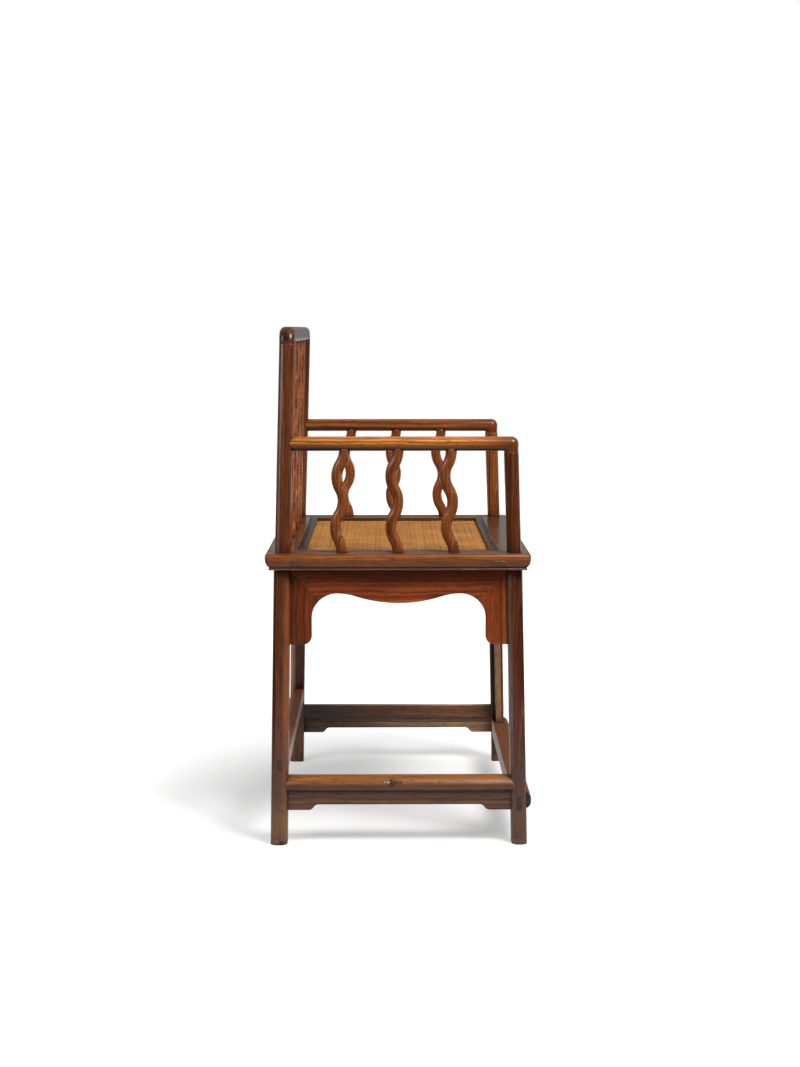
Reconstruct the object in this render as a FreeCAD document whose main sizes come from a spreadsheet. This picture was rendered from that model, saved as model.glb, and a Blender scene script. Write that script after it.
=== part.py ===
import FreeCAD, Part
import os
import re
import Sketcher

# Low-back armchair of joined hardwood with a soft cane seat, in millimetres.
# +Z is up, the sitter faces -Y, the sitter's right hand is at -X, and the floor is z = 0.
# The seat's middle is x = 0; the box round the whole chair is centred on x = 0, y = 0.

os.makedirs("parts", exist_ok=True)
doc = FreeCAD.newDocument("armchair")
dims = doc.addObject("Spreadsheet::Sheet", "Dims")

SIZES = (
    ("seat_width", 564, "seat frame over its edge moulding, side to side"),
    ("seat_depth", 436, "seat frame over its edge moulding, front to back"),
    ("seat_height", 492, "floor to the top of the seat frame"),
    ("seat_thick", 27, "seat frame, top to underside"),
    ("long_rail_width", 65, "front and rear seat rails, with the rabbet"),
    ("side_rail_width", 56, "side seat rails, with the rabbet"),
    ("edge_round", 5, "rounding of the seat frame's upper outer edge"),
    ("edge_taper", 8, "how far the seat frame's edge tapers in towards its underside"),
    ("edge_swell", 24.5, "radius of the swell of that tapering edge"),
    ("edge_bead", 4, "height of the bead at the foot of the edge moulding"),
    ("seat_corner", 9, "rounding of the seat frame's corners, seen from above"),
    ("frame_tenon_width", 23, "through tenons of the front and rear seat rails, across"),
    ("frame_tenon_thick", 9.5, "the same tenons, up and down"),
    ("frame_tenon_depth", 10.5, "top of the seat frame to the top of those tenons"),
    ("overall_height", 860, "floor to the top of the crest rail"),
    ("arm_height", 682.5, "floor to the top of the arms"),
    ("side_inset", 29, "side edge of the seat frame to the legs' centre, at the seat and above it"),
    ("rear_inset", 27.5, "rear edge of the seat frame to the rear legs' centre, under the seat"),
    ("front_inset", 26, "front edge of the seat frame to the front legs' centre, under the seat"),
    ("side_splay", 6, "how far the legs spread sideways from the seat down to the floor"),
    ("rear_splay", 9.1, "how far the rear legs spread back from the seat down to the floor"),
    ("front_splay", 11.7, "how far the front legs spread forward from the seat down to the floor"),
    ("rear_lean", 11.3, "how far the back posts lean in from the seat up to the crest rail"),
    ("front_lean", 7, "how far the arm posts lean in from the seat up to the arms"),
    ("rear_leg", 28.2, "rear legs below the seat, across"),
    ("front_leg", 26.2, "front legs below the seat, across"),
    ("leg_round", 11, "rounding of the legs' outer corners"),
    ("leg_inner_round", 2, "rounding of the legs' squared inner corner"),
    ("rear_post", 25, "back posts above the seat, across"),
    ("front_post", 24, "arm posts above the seat, across"),
    ("post_round", 9.5, "rounding of the back posts' and the crest rail's corners"),
    ("crest_bend", 13.5, "centre-line radius of the crest rail's turned-down ends"),
    ("arm_size", 23.5, "arms, across"),
    ("arm_bend", 12.5, "arms' centre line down to the foot of their round elbows"),
    ("elbow_drop", 1.5, "straight length of a turned-down end below its bend or elbow"),
    ("pin_size", 11, "round tenons of posts and arms, across"),
    ("pin_length", 13, "length of those tenons"),
    ("spindle_size", 18.4, "wavy spindles, across"),
    ("spindle_swing", 11.5, "sideways swing of the arm spindles' waves"),
    ("back_swing", 11.5, "sideways swing of the back spindles' waves"),
    ("spindle_pin", 9, "round tenons of the spindles, across"),
    ("spindle_pin_length", 9, "length of those tenons"),
    ("back_pitch", 100, "spacing of the back spindles"),
    ("arm_pitch_low", 92.5, "spacing of the arm spindles at the seat"),
    ("arm_pitch_high", 87, "spacing of the arm spindles at the arm"),
    ("strip_width", 14, "strips that hold the mat down, across"),
    ("strip_thick", 5, "thickness of those strips"),
    ("mat_thick", 2, "cane mat"),
    ("web_thick", 3, "palm-cord webbing under the mat"),
    ("web_ledge", 6, "width of the ledge that carries the webbing"),
    ("strip_pin_size", 2.4, "bamboo pins of the strips, across"),
    ("strip_pin_length", 12, "length of those pins"),
    ("brace_x", 74, "braces' centre from the middle of the chair"),
    ("brace_width", 24, "braces under the seat, across"),
    ("brace_thick", 14, "braces, up and down"),
    ("brace_bow", 9, "how far the braces bow down in the middle"),
    ("brace_tongue", 12, "length of the braces' tenons"),
    ("brace_tenon", 8, "braces' tenons, up and down"),
    ("brace_drop", 2, "webbing to the top of the braces' ends"),
    ("apron_thick", 11, "aprons under the seat"),
    ("apron_mid", 57, "depth of those aprons at their middle"),
    ("apron_peak", 41, "their depth at the highest point of the arch"),
    ("apron_arch", 42, "radius of the arch's corners"),
    ("ear_width", 34, "width of the aprons' ears"),
    ("ear_length", 126, "length of the short ears below the seat frame"),
    ("ear_corner", 14, "rounding of the short ears' lower corner"),
    ("mitre_lip", 2, "end of an apron above the mitre with its ear"),
    ("ear_tongue", 4, "how deep aprons stand in the legs' grooves"),
    ("side_rung_top", 114.5, "floor to the top of the side stretchers"),
    ("rear_rung_top", 149.5, "floor to the top of the rear stretcher"),
    ("rung_height", 24.5, "side and rear stretchers, up and down"),
    ("rung_outer", 12.5, "legs' centre line to the widest line of a stretcher's outer face"),
    ("rung_setback", 1, "how far a stretcher's inner face is set back from the legs'"),
    ("rung_flat", 12, "flat top of a stretcher, across"),
    ("rung_ridge", 10, "underside of a stretcher to the widest line of its outer face"),
    ("rung_tenon_width", 8.4, "through tenons of the stretchers and the footrest, across"),
    ("rung_tenon_height", 21, "stretchers' tenons, up and down"),
    ("rung_tenon_low", 1.5, "underside of a stretcher to its tenon"),
    ("footrest_top", 88, "floor to the top of the footrest"),
    ("footrest_height", 30, "footrest, up and down"),
    ("footrest_depth", 33, "footrest, front to back"),
    ("footrest_nose", 8.1, "how far the footrest stands in front of the front legs"),
    ("footrest_round", 12, "rounding of the footrest's front edge"),
    ("footrest_tenon_height", 25.5, "footrest's tenons, up and down"),
    ("footrest_tenon_low", 0.5, "underside of the footrest to its tenon"),
    ("skirt_thick", 10, "aprons under the stretchers and the footrest"),
    ("skirt_mid", 22.5, "depth of the side stretchers' aprons at their middle"),
    ("skirt_end", 32, "depth of those aprons at their ends"),
    ("skirt_flat", 35, "length of their deeper ends, leg face to step"),
    ("skirt_step", 17, "length of the step between the two depths"),
    ("foot_skirt_mid", 13, "depth of the footrest's apron at its middle"),
    ("foot_skirt_end", 20, "depth of the footrest's apron at its ends"),
    ("fit_gap", 0.2, "room round a tenon or tongue"),
    ("cope_gap", 0.3, "room at a joint coped round a rounded piece"),
)

for row, (alias, number, meaning) in enumerate(SIZES, start=1):
    dims.set(f"A{row}", meaning)
    dims.set(f"B{row}", str(number))
    dims.setAlias(f"B{row}", alias)
doc.recompute()

ALIASES = {alias for alias, number, meaning in SIZES}
SIDES = {"right": -1, "left": 1}
ENDS = {"rear": 1, "front": -1}
LEGS = [(end, side) for end in ENDS for side in SIDES]
BACK_SPINDLES = 4
BACK_WAVES = 4
ARM_SPINDLES = 3
ARM_WAVES = 2
LONG_STRIP_PINS = 6
SIDE_STRIP_PINS = 4
BEAD_ROUND = 0.52
WAVE_TURN = 0.7

# Heights and places that follow from the sizes.
SEAT_UNDER = "(seat_height - seat_thick)"
CREST_MID = "(overall_height - rear_post / 2)"
CREST_JOINT = "(overall_height - rear_post / 2 - crest_bend - elbow_drop)"
ARM_MID = "(arm_height - arm_size / 2)"
ARM_JOINT = "(arm_height - arm_size / 2 - arm_bend - elbow_drop)"
LEDGE_DEPTH = "(strip_thick + mat_thick)"
WEB_DEPTH = "(strip_thick + mat_thick + web_thick)"
FOOTREST_MID = "(footrest_top - footrest_height / 2)"
FOOTREST_LOW = "(footrest_top - footrest_height)"
SIDE_RUNG_LOW = "(side_rung_top - rung_height)"
REAR_RUNG_LOW = "(rear_rung_top - rung_height)"
TOPS = {"rear": CREST_JOINT, "front": ARM_JOINT}
POST_X = "(seat_width / 2 - side_inset)"
SEAT_Y = {end: f"(seat_depth / 2 - {end}_inset)" for end in ENDS}
TOP_Y = {end: f"({SEAT_Y[end]} - {end}_lean)" for end in ENDS}


def leg_x(height):
    """Distance of the legs' centre from the middle of the chair, at a height below the seat."""
    return f"({POST_X} + side_splay * (1 - ({height}) / {SEAT_UNDER}))"


def leg_y(end, height):
    """Distance of the front or rear legs' centre from the seat's middle, at a height below the seat."""
    return f"({SEAT_Y[end]} + {end}_splay * (1 - ({height}) / {SEAT_UNDER}))"


def rear_post_y(height):
    """Distance of the back posts' centre behind the seat's middle, at a height above the seat's underside."""
    rise = f"(({height}) - {SEAT_UNDER}) / ({CREST_JOINT} - {SEAT_UNDER})"
    return f"({SEAT_Y['rear']} - rear_lean * {rise})"


FOOTREST_FRONT = f"({leg_y('front', FOOTREST_MID)} + front_leg / 2 + footrest_nose)"
SEAT_SHIFT = f"(max(0; {FOOTREST_FRONT} - seat_depth / 2) / 2)"

finished = []


def bound(expression):
    """The same expression with each size named as a cell of the sheet."""
    return re.sub(r"[a-z_]+", lambda word: f"Dims.{word[0]}" if word[0] in ALIASES else word[0], expression)


def value(expression):
    """The number that an expression of the sizes comes to."""
    return float(dims.evalExpression(bound(expression)))


def tie(piece, **properties):
    """Binds properties of a piece to expressions; a double underscore stands for a dot."""
    for name, expression in properties.items():
        piece.setExpression(name.replace("__", "."), bound(expression))
    return piece


def finish(piece, label):
    """Names a finished piece and moves it from the seat's middle into the chair's own frame."""
    placed = [text for path, text in piece.ExpressionEngine if path.endswith("Placement.Base.y")]
    own = placed[0] if placed else "0"
    piece.Label = label
    piece.setExpression("Placement.Base.y", f"{own} + {bound(SEAT_SHIFT)}")
    finished.append(piece)
    return piece


def body_at(name, x="0", y="0", z="0", axis=None, angle="0"):
    """A new body, placed at a point and turned about an axis."""
    body = doc.addObject("PartDesign::Body", name)
    if axis is not None:
        body.Placement = FreeCAD.Placement(FreeCAD.Vector(), FreeCAD.Rotation(FreeCAD.Vector(*axis), 1))
        tie(body, Placement__Rotation__Angle=angle)
    return tie(body, Placement__Base__x=x, Placement__Base__y=y, Placement__Base__z=z)


def sketch_on(body, name, plane, offset="0"):
    """A sketch on one of the body's own planes, moved along that plane's normal."""
    sketch = body.newObject("Sketcher::SketchObject", name)
    support = next(item for item in body.Origin.OriginFeatures if item.Role == plane)
    sketch.AttachmentSupport = [(support, "")]
    sketch.MapMode = "FlatFace"
    return tie(sketch, AttachmentOffset__Base__z=offset)


def draw(sketch, points, closed=True):
    """Draws lines and arcs through points (x, y) or (x, y, radius).

    A radius makes the edge that follows an arc: positive turns left, negative turns right.
    """
    spots = [FreeCAD.Vector(value(point[0]), value(point[1]), 0) for point in points]
    edges = len(points) if closed else len(points) - 1
    first = sketch.GeometryCount
    ends = []
    for index in range(edges):
        start = spots[index]
        stop = spots[(index + 1) % len(points)]
        if len(points[index]) == 2:
            sketch.addGeometry(Part.LineSegment(start, stop))
            ends.append((1, 2))
            continue
        radius = value(points[index][2])
        chord = stop - start
        rise = max(radius ** 2 - chord.Length ** 2 / 4, 0) ** 0.5
        across = FreeCAD.Vector(-chord.y, chord.x, 0).normalize()
        centre = (start + stop) / 2 + across * (rise if radius > 0 else -rise)
        low, high = (start, stop) if radius > 0 else (stop, start)
        angles = [FreeCAD.Vector(1, 0, 0).getAngle(spot - centre) for spot in (low, high)]
        turns = [angle if spot.y >= centre.y else -angle for angle, spot in zip(angles, (low, high))]
        circle = Part.Circle(centre, FreeCAD.Vector(0, 0, 1), abs(radius))
        sketch.addGeometry(Part.ArcOfCircle(circle, turns[0], turns[1]))
        ends.append((1, 2) if radius > 0 else (2, 1))
    for index in range(edges if closed else edges - 1):
        after = (index + 1) % edges
        sketch.addConstraint(
            Sketcher.Constraint("Coincident", first + index, ends[index][1], first + after, ends[after][0]))
    for index, point in enumerate(points):
        edge = min(index, edges - 1)
        place = ends[edge][0] if index == edge else ends[edge][1]
        for kind, expression in (("DistanceX", point[0]), ("DistanceY", point[1])):
            spot = sketch.addConstraint(
                Sketcher.Constraint(kind, -1, 1, first + edge, place, value(expression)))
            fix(sketch, spot, expression)
        if len(point) == 3:
            spot = sketch.addConstraint(Sketcher.Constraint("Radius", first + edge, abs(value(point[2]))))
            fix(sketch, spot, f"abs({point[2]})")
    return sketch


def fix(sketch, constraint, expression):
    """Binds one constraint of a sketch to an expression of the sizes."""
    sketch.renameConstraint(constraint, f"size_{constraint}")
    sketch.setExpression(f"Constraints.size_{constraint}", bound(expression))


def draw_circle(sketch, x, y, radius):
    """Draws a circle."""
    centre = FreeCAD.Vector(value(x), value(y), 0)
    ring = sketch.addGeometry(Part.Circle(centre, FreeCAD.Vector(0, 0, 1), value(radius)))
    for kind, expression in (("DistanceX", x), ("DistanceY", y)):
        spot = sketch.addConstraint(Sketcher.Constraint(kind, -1, 1, ring, 3, value(expression)))
        fix(sketch, spot, expression)
    fix(sketch, sketch.addConstraint(Sketcher.Constraint("Radius", ring, value(radius))), radius)
    return sketch


def pad(body, sketch, length):
    """Thickens a sketch evenly to both sides."""
    feature = body.newObject("PartDesign::Pad", f"{body.Name}_pad")
    feature.Profile = sketch
    feature.SideType = "Symmetric"
    tie(feature, Length=length)
    return body


def loft(body, low, high):
    """Joins two sections with straight sides."""
    feature = body.newObject("PartDesign::AdditiveLoft", f"{body.Name}_loft")
    feature.Profile = low
    feature.Sections = [high]
    feature.Ruled = True
    return body


def pipe(body, section, path):
    """Carries a section along a path."""
    feature = body.newObject("PartDesign::AdditivePipe", f"{body.Name}_pipe")
    feature.Profile = section
    feature.Spine = (path, [])
    return body


def box(name, x, y, z, grow="0"):
    """A block between three pairs of bounds, made larger all round by grow."""
    piece = doc.addObject("Part::Box", name)
    tie(piece, Length=f"{x[1]} - ({x[0]}) + 2 * {grow}", Placement__Base__x=f"{x[0]} - {grow}")
    tie(piece, Width=f"{y[1]} - ({y[0]}) + 2 * {grow}", Placement__Base__y=f"{y[0]} - {grow}")
    return tie(piece, Height=f"{z[1]} - ({z[0]}) + 2 * {grow}", Placement__Base__z=f"{z[0]} - {grow}")


def rod(name, x, y, z, size, low, high, lean="0", grow="0"):
    """A round pin from low to high along an axis through a point; lean tips the axis from +Z towards -Y."""
    piece = doc.addObject("Part::Cylinder", name)
    piece.Placement = FreeCAD.Placement(FreeCAD.Vector(), FreeCAD.Rotation(FreeCAD.Vector(1, 0, 0), 1))
    tie(piece, Radius=f"({size}) / 2 + {grow}", Height=f"({high}) - ({low}) + 2 * {grow}")
    tie(piece, Placement__Rotation__Angle=lean, Placement__Base__x=x)
    tie(piece, Placement__Base__y=f"{y} - (({low}) - {grow}) * sin({lean})")
    return tie(piece, Placement__Base__z=f"{z} + (({low}) - {grow}) * cos({lean})")


def cut(name, base, tools):
    """What is left of a piece when the tools are taken from it."""
    piece = doc.addObject("Part::Cut", name)
    piece.Base = base
    piece.Tool = tools[0] if len(tools) == 1 else fuse(f"{name}_tools", tools)
    return piece


def fuse(name, pieces):
    """Several solids as one."""
    piece = doc.addObject("Part::MultiFuse", name)
    piece.Shapes = pieces
    return piece


# Legs: each is one stick from the floor to the top. Below the seat it is rounded outside and squared
# inside, and splays a little; above the seat it runs on as a post that leans in.

def corner_box(sketch, x, y, size, outward, rounds, grow):
    """A square section with its own rounding at the outer, middle and inner corners."""
    out_x, out_y = outward
    outer, middle, inner = (f"({radius} + {grow})" for radius in rounds)
    half = f"(({size}) / 2 + {grow})"
    turn = out_x * out_y
    spots = (
        (f"-{half} + {inner}", f"-{half}"),
        (f"{half} - {middle}", f"-{half}", middle),
        (half, f"-{half} + {middle}"),
        (half, f"{half} - {outer}", outer),
        (f"{half} - {outer}", half),
        (f"-{half} + {middle}", half, middle),
        (f"-{half}", f"{half} - {middle}"),
        (f"-{half}", f"-{half} + {inner}", inner),
    )
    points = []
    for spot in spots:
        place = (f"{x} + {out_x} * ({spot[0]})", f"{y} + {out_y} * ({spot[1]})")
        points.append(place if len(spot) == 2 else place + (f"{turn} * {spot[2]}",))
    return draw(sketch, points)


def leg_blank(name, side, end, grow):
    """A whole leg without its joints; grow makes it thicker, for the room that neighbours leave round it."""
    outward = (SIDES[side], ENDS[end])
    corners = ("leg_round", "leg_round", "leg_inner_round")
    body = body_at(name)
    sections = []
    for level, height, x, y in (
        ("floor", "0", leg_x("0"), leg_y(end, "0")),
        ("seat", SEAT_UNDER, POST_X, SEAT_Y[end]),
        ("post", SEAT_UNDER, POST_X, SEAT_Y[end]),
        ("top", TOPS[end], POST_X, TOP_Y[end]),
    ):
        sketch = sketch_on(body, f"{name}_{level}", "XY_Plane", height)
        place = (f"{outward[0]} * {x}", f"{outward[1]} * {y}")
        if level in ("floor", "seat"):
            corner_box(sketch, *place, f"{end}_leg", outward, corners, grow)
        elif end == "rear":
            corner_box(sketch, *place, "rear_post", outward, ("post_round",) * 3, grow)
        else:
            draw_circle(sketch, *place, f"front_post / 2 + {grow}")
        sections.append(sketch)
    loft(body, *sections[:2])
    return loft(body, *sections[2:])


cores = {(end, side): leg_blank(f"{end}_core_{side}", side, end, "cope_gap") for end, side in LEGS}
leg_tools = {leg: [] for leg in LEGS}


def post_pin(name, end, side, grow):
    """The round tenon on a post, which goes up into the crest rail or the arm."""
    place = (f"{SIDES[side]} * {POST_X}", f"{ENDS[end]} * {TOP_Y[end]}", TOPS[end])
    return rod(name, *place, "pin_size", "-pin_length / 4", "pin_length", grow=grow)


# Crest rail: a rail with softly squared corners whose ends turn down onto the back posts.

def crest_blank(name, grow):
    """The rail and its turned-down ends, without the sockets."""
    body = body_at(name, y=TOP_Y["rear"])
    path = sketch_on(body, f"{name}_path", "XZ_Plane")
    draw(path, (
        (f"-{POST_X}", CREST_JOINT),
        (f"-{POST_X}", f"{CREST_MID} - crest_bend", "-crest_bend"),
        (f"crest_bend - {POST_X}", CREST_MID),
        (f"{POST_X} - crest_bend", CREST_MID, "-crest_bend"),
        (POST_X, f"{CREST_MID} - crest_bend"),
        (POST_X, CREST_JOINT),
    ), closed=False)
    section = sketch_on(body, f"{name}_section", "XY_Plane", CREST_JOINT)
    corner_box(section, f"-{POST_X}", "0", "rear_post", (1, 1), ("post_round",) * 3, grow)
    return pipe(body, section, path)


crest_core = crest_blank("crest_core", "cope_gap")
crest_sockets = [post_pin(f"crest_socket_{side}", "rear", side, "fit_gap") for side in SIDES]


# Arms: round rails with a round elbow at the front, turned down onto the arm posts, and coped round the
# back posts.

def arm_blank(name, side, grow):
    """An arm from the middle of the back post, round its elbow and down to its joint on the front post."""
    rear = rear_post_y(ARM_MID)
    front = f"-{TOP_Y['front']}"
    across = f"{SIDES[side]} * {POST_X}"
    run = rod(f"{name}_run", across, rear, ARM_MID, "arm_size", grow, f"{rear} - ({front}) - {grow}", "90", grow)
    drop = rod(f"{name}_drop", across, front, ARM_MID, "arm_size",
               f"{ARM_JOINT} - {ARM_MID} + {grow}", f"-1 * {grow}", grow=grow)
    elbow = doc.addObject("Part::Sphere", f"{name}_elbow")
    elbow.Placement = FreeCAD.Placement(FreeCAD.Vector(), FreeCAD.Rotation(FreeCAD.Vector(0, 0, 1), 180))
    tie(elbow, Radius=f"arm_size / 2 + {grow}", Angle1="0", Angle2="90", Angle3="180")
    tie(elbow, Placement__Base__x=across, Placement__Base__y=front, Placement__Base__z=ARM_MID)
    return fuse(name, [run, drop, elbow])


def arm_pin(name, side, grow):
    """The round tenon that goes from the arm's rear end into the back post."""
    place = (f"{SIDES[side]} * {POST_X}", f"{rear_post_y(ARM_MID)} - rear_post / 2", ARM_MID)
    return rod(name, *place, "pin_size", "-pin_length", "pin_length", "-90", grow)


arm_cores = {side: arm_blank(f"arm_core_{side}", side, "cope_gap") for side in SIDES}
arm_sockets = {side: [post_pin(f"arm_socket_{side}", "front", side, "fit_gap")] for side in SIDES}
for side in SIDES:
    leg_tools["rear", side].append(arm_pin(f"arm_mortise_{side}", side, "fit_gap"))


# Spindles: round sticks cut in waves, with a round tenon at each end. The back spindles wave sideways,
# the arm spindles wave front to back. Each stands on the seat frame and is coped to the rail above it.

def wave(name, plane, length, waves, swing, way, run_on, place, lean):
    """A wavy stick that starts at a point, leans, and runs a little past both joints."""
    x, y, z = place
    body = body_at(name, x, y, z, (1, 0, 0), lean)
    quarter = f"({length}) / {4 * waves}"
    radius = f"(({swing}) / 4 + ({quarter}) ^ 2 / ({swing}))"
    points = [("0", f"-({run_on})"), ("0", "0", f"{-way} * {radius}")]
    for step in range(2 * waves):
        turn = way * (-1) ** step
        points.append((f"{way} * {swing} / 2", f"{2 * step + 1} * {quarter}", f"{turn} * {radius}"))
    points += [("0", length), ("0", f"{length} + {run_on}")]
    path = draw(sketch_on(body, f"{name}_path", plane), points, closed=False)
    section = sketch_on(body, f"{name}_section", "XY_Plane", f"-({run_on})")
    draw_circle(section, "0", "0", "spindle_size / 2")
    return pipe(body, section, path)


def spindle(label, plane, waves, swing, way, place, length, lean, seat_tools, rail_core, rail_tools):
    """One finished spindle; its mortises go to the lists of what the seat rail and the upper rail lose."""
    blank = wave(f"{label}_blank", plane, length, waves, swing, way, "spindle_size / 2", place, lean)
    stick = cut(f"{label}_stick", blank, [seat_slab, rail_core])
    pins = []
    for part, low, high in (
        ("foot", "-spindle_pin_length", "spindle_size / 4"),
        ("head", f"{length} - spindle_size / 4", f"{length} + spindle_pin_length"),
    ):
        pins.append(rod(f"{label}_{part}", *place, "spindle_pin", low, high, lean))
        tools = seat_tools if part == "foot" else rail_tools
        tools.append(rod(f"{label}_{part}_mortise", *place, "spindle_pin", low, high, lean, "fit_gap"))
    finish(fuse(f"{label}_piece", [stick] + pins), label)


seat_slab = box("seat_slab", ("-seat_width / 2", "seat_width / 2"), ("-seat_depth / 2", "seat_depth / 2"),
                (SEAT_UNDER, "seat_height"))
rail_tools = {"front": [], "rear": [], "right": [], "left": []}

back_low = rear_post_y("seat_height")
back_lean = f"atan(({back_low} - {TOP_Y['rear']}) / ({CREST_MID} - seat_height))"
back_length = f"({CREST_MID} - rear_post / 2 - seat_height)"
for number in range(BACK_SPINDLES):
    across = number - (BACK_SPINDLES - 1) / 2
    spindle(f"back_spindle_{number + 1}", "XZ_Plane", BACK_WAVES, "back_swing", 1 if across < 0 else -1,
            (f"{across} * back_pitch", back_low, "seat_height"), back_length, back_lean,
            rail_tools["rear"], crest_core, crest_sockets)

arm_length = f"({ARM_MID} - arm_size / 2 - seat_height)"
for side, sign in SIDES.items():
    for number in range(ARM_SPINDLES):
        along = (ARM_SPINDLES - 1) / 2 - number
        arm_lean = f"atan({along} * (arm_pitch_low - arm_pitch_high) / {arm_length})"
        spindle(f"arm_spindle_{side}_{number + 1}", "YZ_Plane", ARM_WAVES, "spindle_swing", 1,
                (f"{sign} * {POST_X}", f"{along} * arm_pitch_low", "seat_height"), arm_length, arm_lean,
                rail_tools[side], arm_cores[side], arm_sockets[side])

finish(cut("crest_piece", crest_blank("crest_bar", "0"), crest_sockets), "crest_rail")
for side in SIDES:
    coped = cut(f"arm_coped_{side}", arm_blank(f"arm_bar_{side}", side, "0"), [cores["rear", side]])
    hollow = cut(f"arm_hollow_{side}", coped, arm_sockets[side])
    finish(fuse(f"arm_piece_{side}", [hollow, arm_pin(f"arm_tenon_{side}", side, "0")]), f"arm_{side}")


# Seat frame: four rails with a moulded edge, mitred at the corners. The tenons of the front and rear
# rails go right through the side rails, and the legs pass up through the corners. A rabbet along the
# inner edge takes the mat and its strips, and a lower ledge takes the webbing.

RAILS = {"front": (0, -1), "rear": (0, 1), "right": (-1, 0), "left": (1, 0)}
LONG_INNER = "(seat_depth / 2 - long_rail_width)"
SIDE_INNER = "(seat_width / 2 - side_rail_width)"
MITRE_OVER = 0.2


def rail_blank(which):
    """One seat rail with its moulding, rabbet and mitres."""
    sign = sum(RAILS[which])
    long_rail = which in ("front", "rear")
    half, width, length, plane = (
        ("seat_depth / 2", "long_rail_width", "seat_width", "YZ_Plane") if long_rail
        else ("seat_width / 2", "side_rail_width", "seat_depth", "XZ_Plane"))
    body = body_at(f"{which}_rail_blank", z="seat_height")
    outline = (
        ("edge_round", "0", f"{-sign} * edge_round"),
        ("0", "-edge_round", f"{-sign} * edge_swell"),
        ("edge_taper", "edge_bead - seat_thick", f"{-sign} * edge_bead * {BEAD_ROUND}"),
        ("edge_taper", "-seat_thick"),
        (width, "-seat_thick"),
        (width, f"-{WEB_DEPTH}"),
        (f"{width} - web_ledge", f"-{WEB_DEPTH}"),
        (f"{width} - web_ledge", f"-{LEDGE_DEPTH}"),
        (f"{width} - strip_width", f"-{LEDGE_DEPTH}"),
        (f"{width} - strip_width", "0"),
    )
    points = [(f"{sign} * ({half} - ({point[0]}))",) + point[1:] for point in outline]
    pad(body, draw(sketch_on(body, f"{which}_rail_profile", plane), points), length)
    corners = sketch_on(body, f"{which}_rail_mitres", "XY_Plane")
    for end in (-1, 1):
        out_x, out_y = (end, sign) if long_rail else (sign, end)
        outer = (f"{out_x} * (seat_width / 2 + {MITRE_OVER} * side_rail_width)",
                 f"{out_y} * (seat_depth / 2 + {MITRE_OVER} * long_rail_width)")
        inner = (f"{out_x} * ({SIDE_INNER} - {MITRE_OVER} * side_rail_width)",
                 f"{out_y} * ({LONG_INNER} - {MITRE_OVER} * long_rail_width)")
        draw(corners, (outer, inner, (outer[0], inner[1]) if long_rail else (inner[0], outer[1])))
    pocket = body.newObject("PartDesign::Pocket", f"{which}_rail_pocket")
    pocket.Profile = corners
    pocket.SideType = "Symmetric"
    tie(pocket, Length="4 * seat_thick")
    return body


def frame_tenon(name, out_x, out_y, grow):
    """Block of a through tenon at one corner of the seat frame."""
    across = sorted((f"{out_x} * ({SIDE_INNER} - frame_tenon_thick)", f"{out_x} * seat_width / 2"), key=value)
    near = f"{out_y} * ({LONG_INNER} + fit_gap)"
    along = sorted((near, f"{near} + {out_y} * frame_tenon_width"), key=value)
    top = "seat_height - frame_tenon_depth"
    return box(name, across, along, (f"{top} - frame_tenon_thick", top), grow)


# Braces: two bowed bars from the front rail to the rear rail, under the webbing.

BRACE_TOP = f"(seat_height - {WEB_DEPTH} - brace_drop)"
BRACE_SHOULDER = "((brace_thick - brace_tenon) / 2)"


def brace(label, sign):
    """One bowed brace with a tenon at each end."""
    body = body_at(f"{label}_bar", x=f"{sign} * brace_x", z=BRACE_TOP)
    half = f"({LONG_INNER} - fit_gap)"
    end = f"({half} + brace_tongue)"
    bow = f"({half} ^ 2 + brace_bow ^ 2) / (2 * brace_bow)"
    low = f"-({BRACE_SHOULDER} + brace_tenon)"
    outline = (
        (f"-{end}", f"-{BRACE_SHOULDER}"), (f"-{half}", f"-{BRACE_SHOULDER}"),
        (f"-{half}", "0", bow), (half, "0"),
        (half, f"-{BRACE_SHOULDER}"), (end, f"-{BRACE_SHOULDER}"),
        (end, low), (half, low),
        (half, "-brace_thick", f"-1 * {bow}"), (f"-{half}", "-brace_thick"),
        (f"-{half}", low), (f"-{end}", low),
    )
    finish(pad(body, draw(sketch_on(body, f"{label}_side", "YZ_Plane"), outline), "brace_width"), label)
    for which in ("front", "rear"):
        way = sum(RAILS[which])
        along = sorted((f"{way} * {half}", f"{way} * {end}"), key=value)
        across = (f"{sign} * brace_x - brace_width / 2", f"{sign} * brace_x + brace_width / 2")
        deep = (f"{BRACE_TOP} + {low}", f"{BRACE_TOP} - {BRACE_SHOULDER}")
        rail_tools[which].append(box(f"{label}_mortise_{which}", across, along, deep, "fit_gap"))


for side, sign in SIDES.items():
    brace(f"seat_brace_{side}", sign)


# Seat: a cane mat over palm-cord webbing. Four mitred strips hold the mat's edges in the rabbet,
# and bamboo pins go down through strips and mat into the rails.

STRIP_OUTER = (f"({SIDE_INNER} + strip_width - fit_gap)", f"({LONG_INNER} + strip_width - fit_gap)")
PIN_LINE = "(strip_width + web_ledge) / 2"


def strip_pins(which, grow):
    """The pins of one strip, evenly spaced along it."""
    sign = sum(RAILS[which])
    long_strip = which in ("front", "rear")
    count = LONG_STRIP_PINS if long_strip else SIDE_STRIP_PINS
    pins = []
    for number in range(count):
        share = (2 * number + 1) / count - 1
        place = ((f"{share} * {SIDE_INNER}", f"{sign} * ({LONG_INNER} + {PIN_LINE})") if long_strip
                 else (f"{sign} * ({SIDE_INNER} + {PIN_LINE})", f"{share} * {LONG_INNER}"))
        name = f"{which}_pin_{number}" if grow == "0" else f"{which}_pin_hole_{number}"
        pins.append(rod(name, *place, "seat_height", "strip_pin_size", "-strip_pin_length", "0", grow=grow))
    return pins


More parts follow.
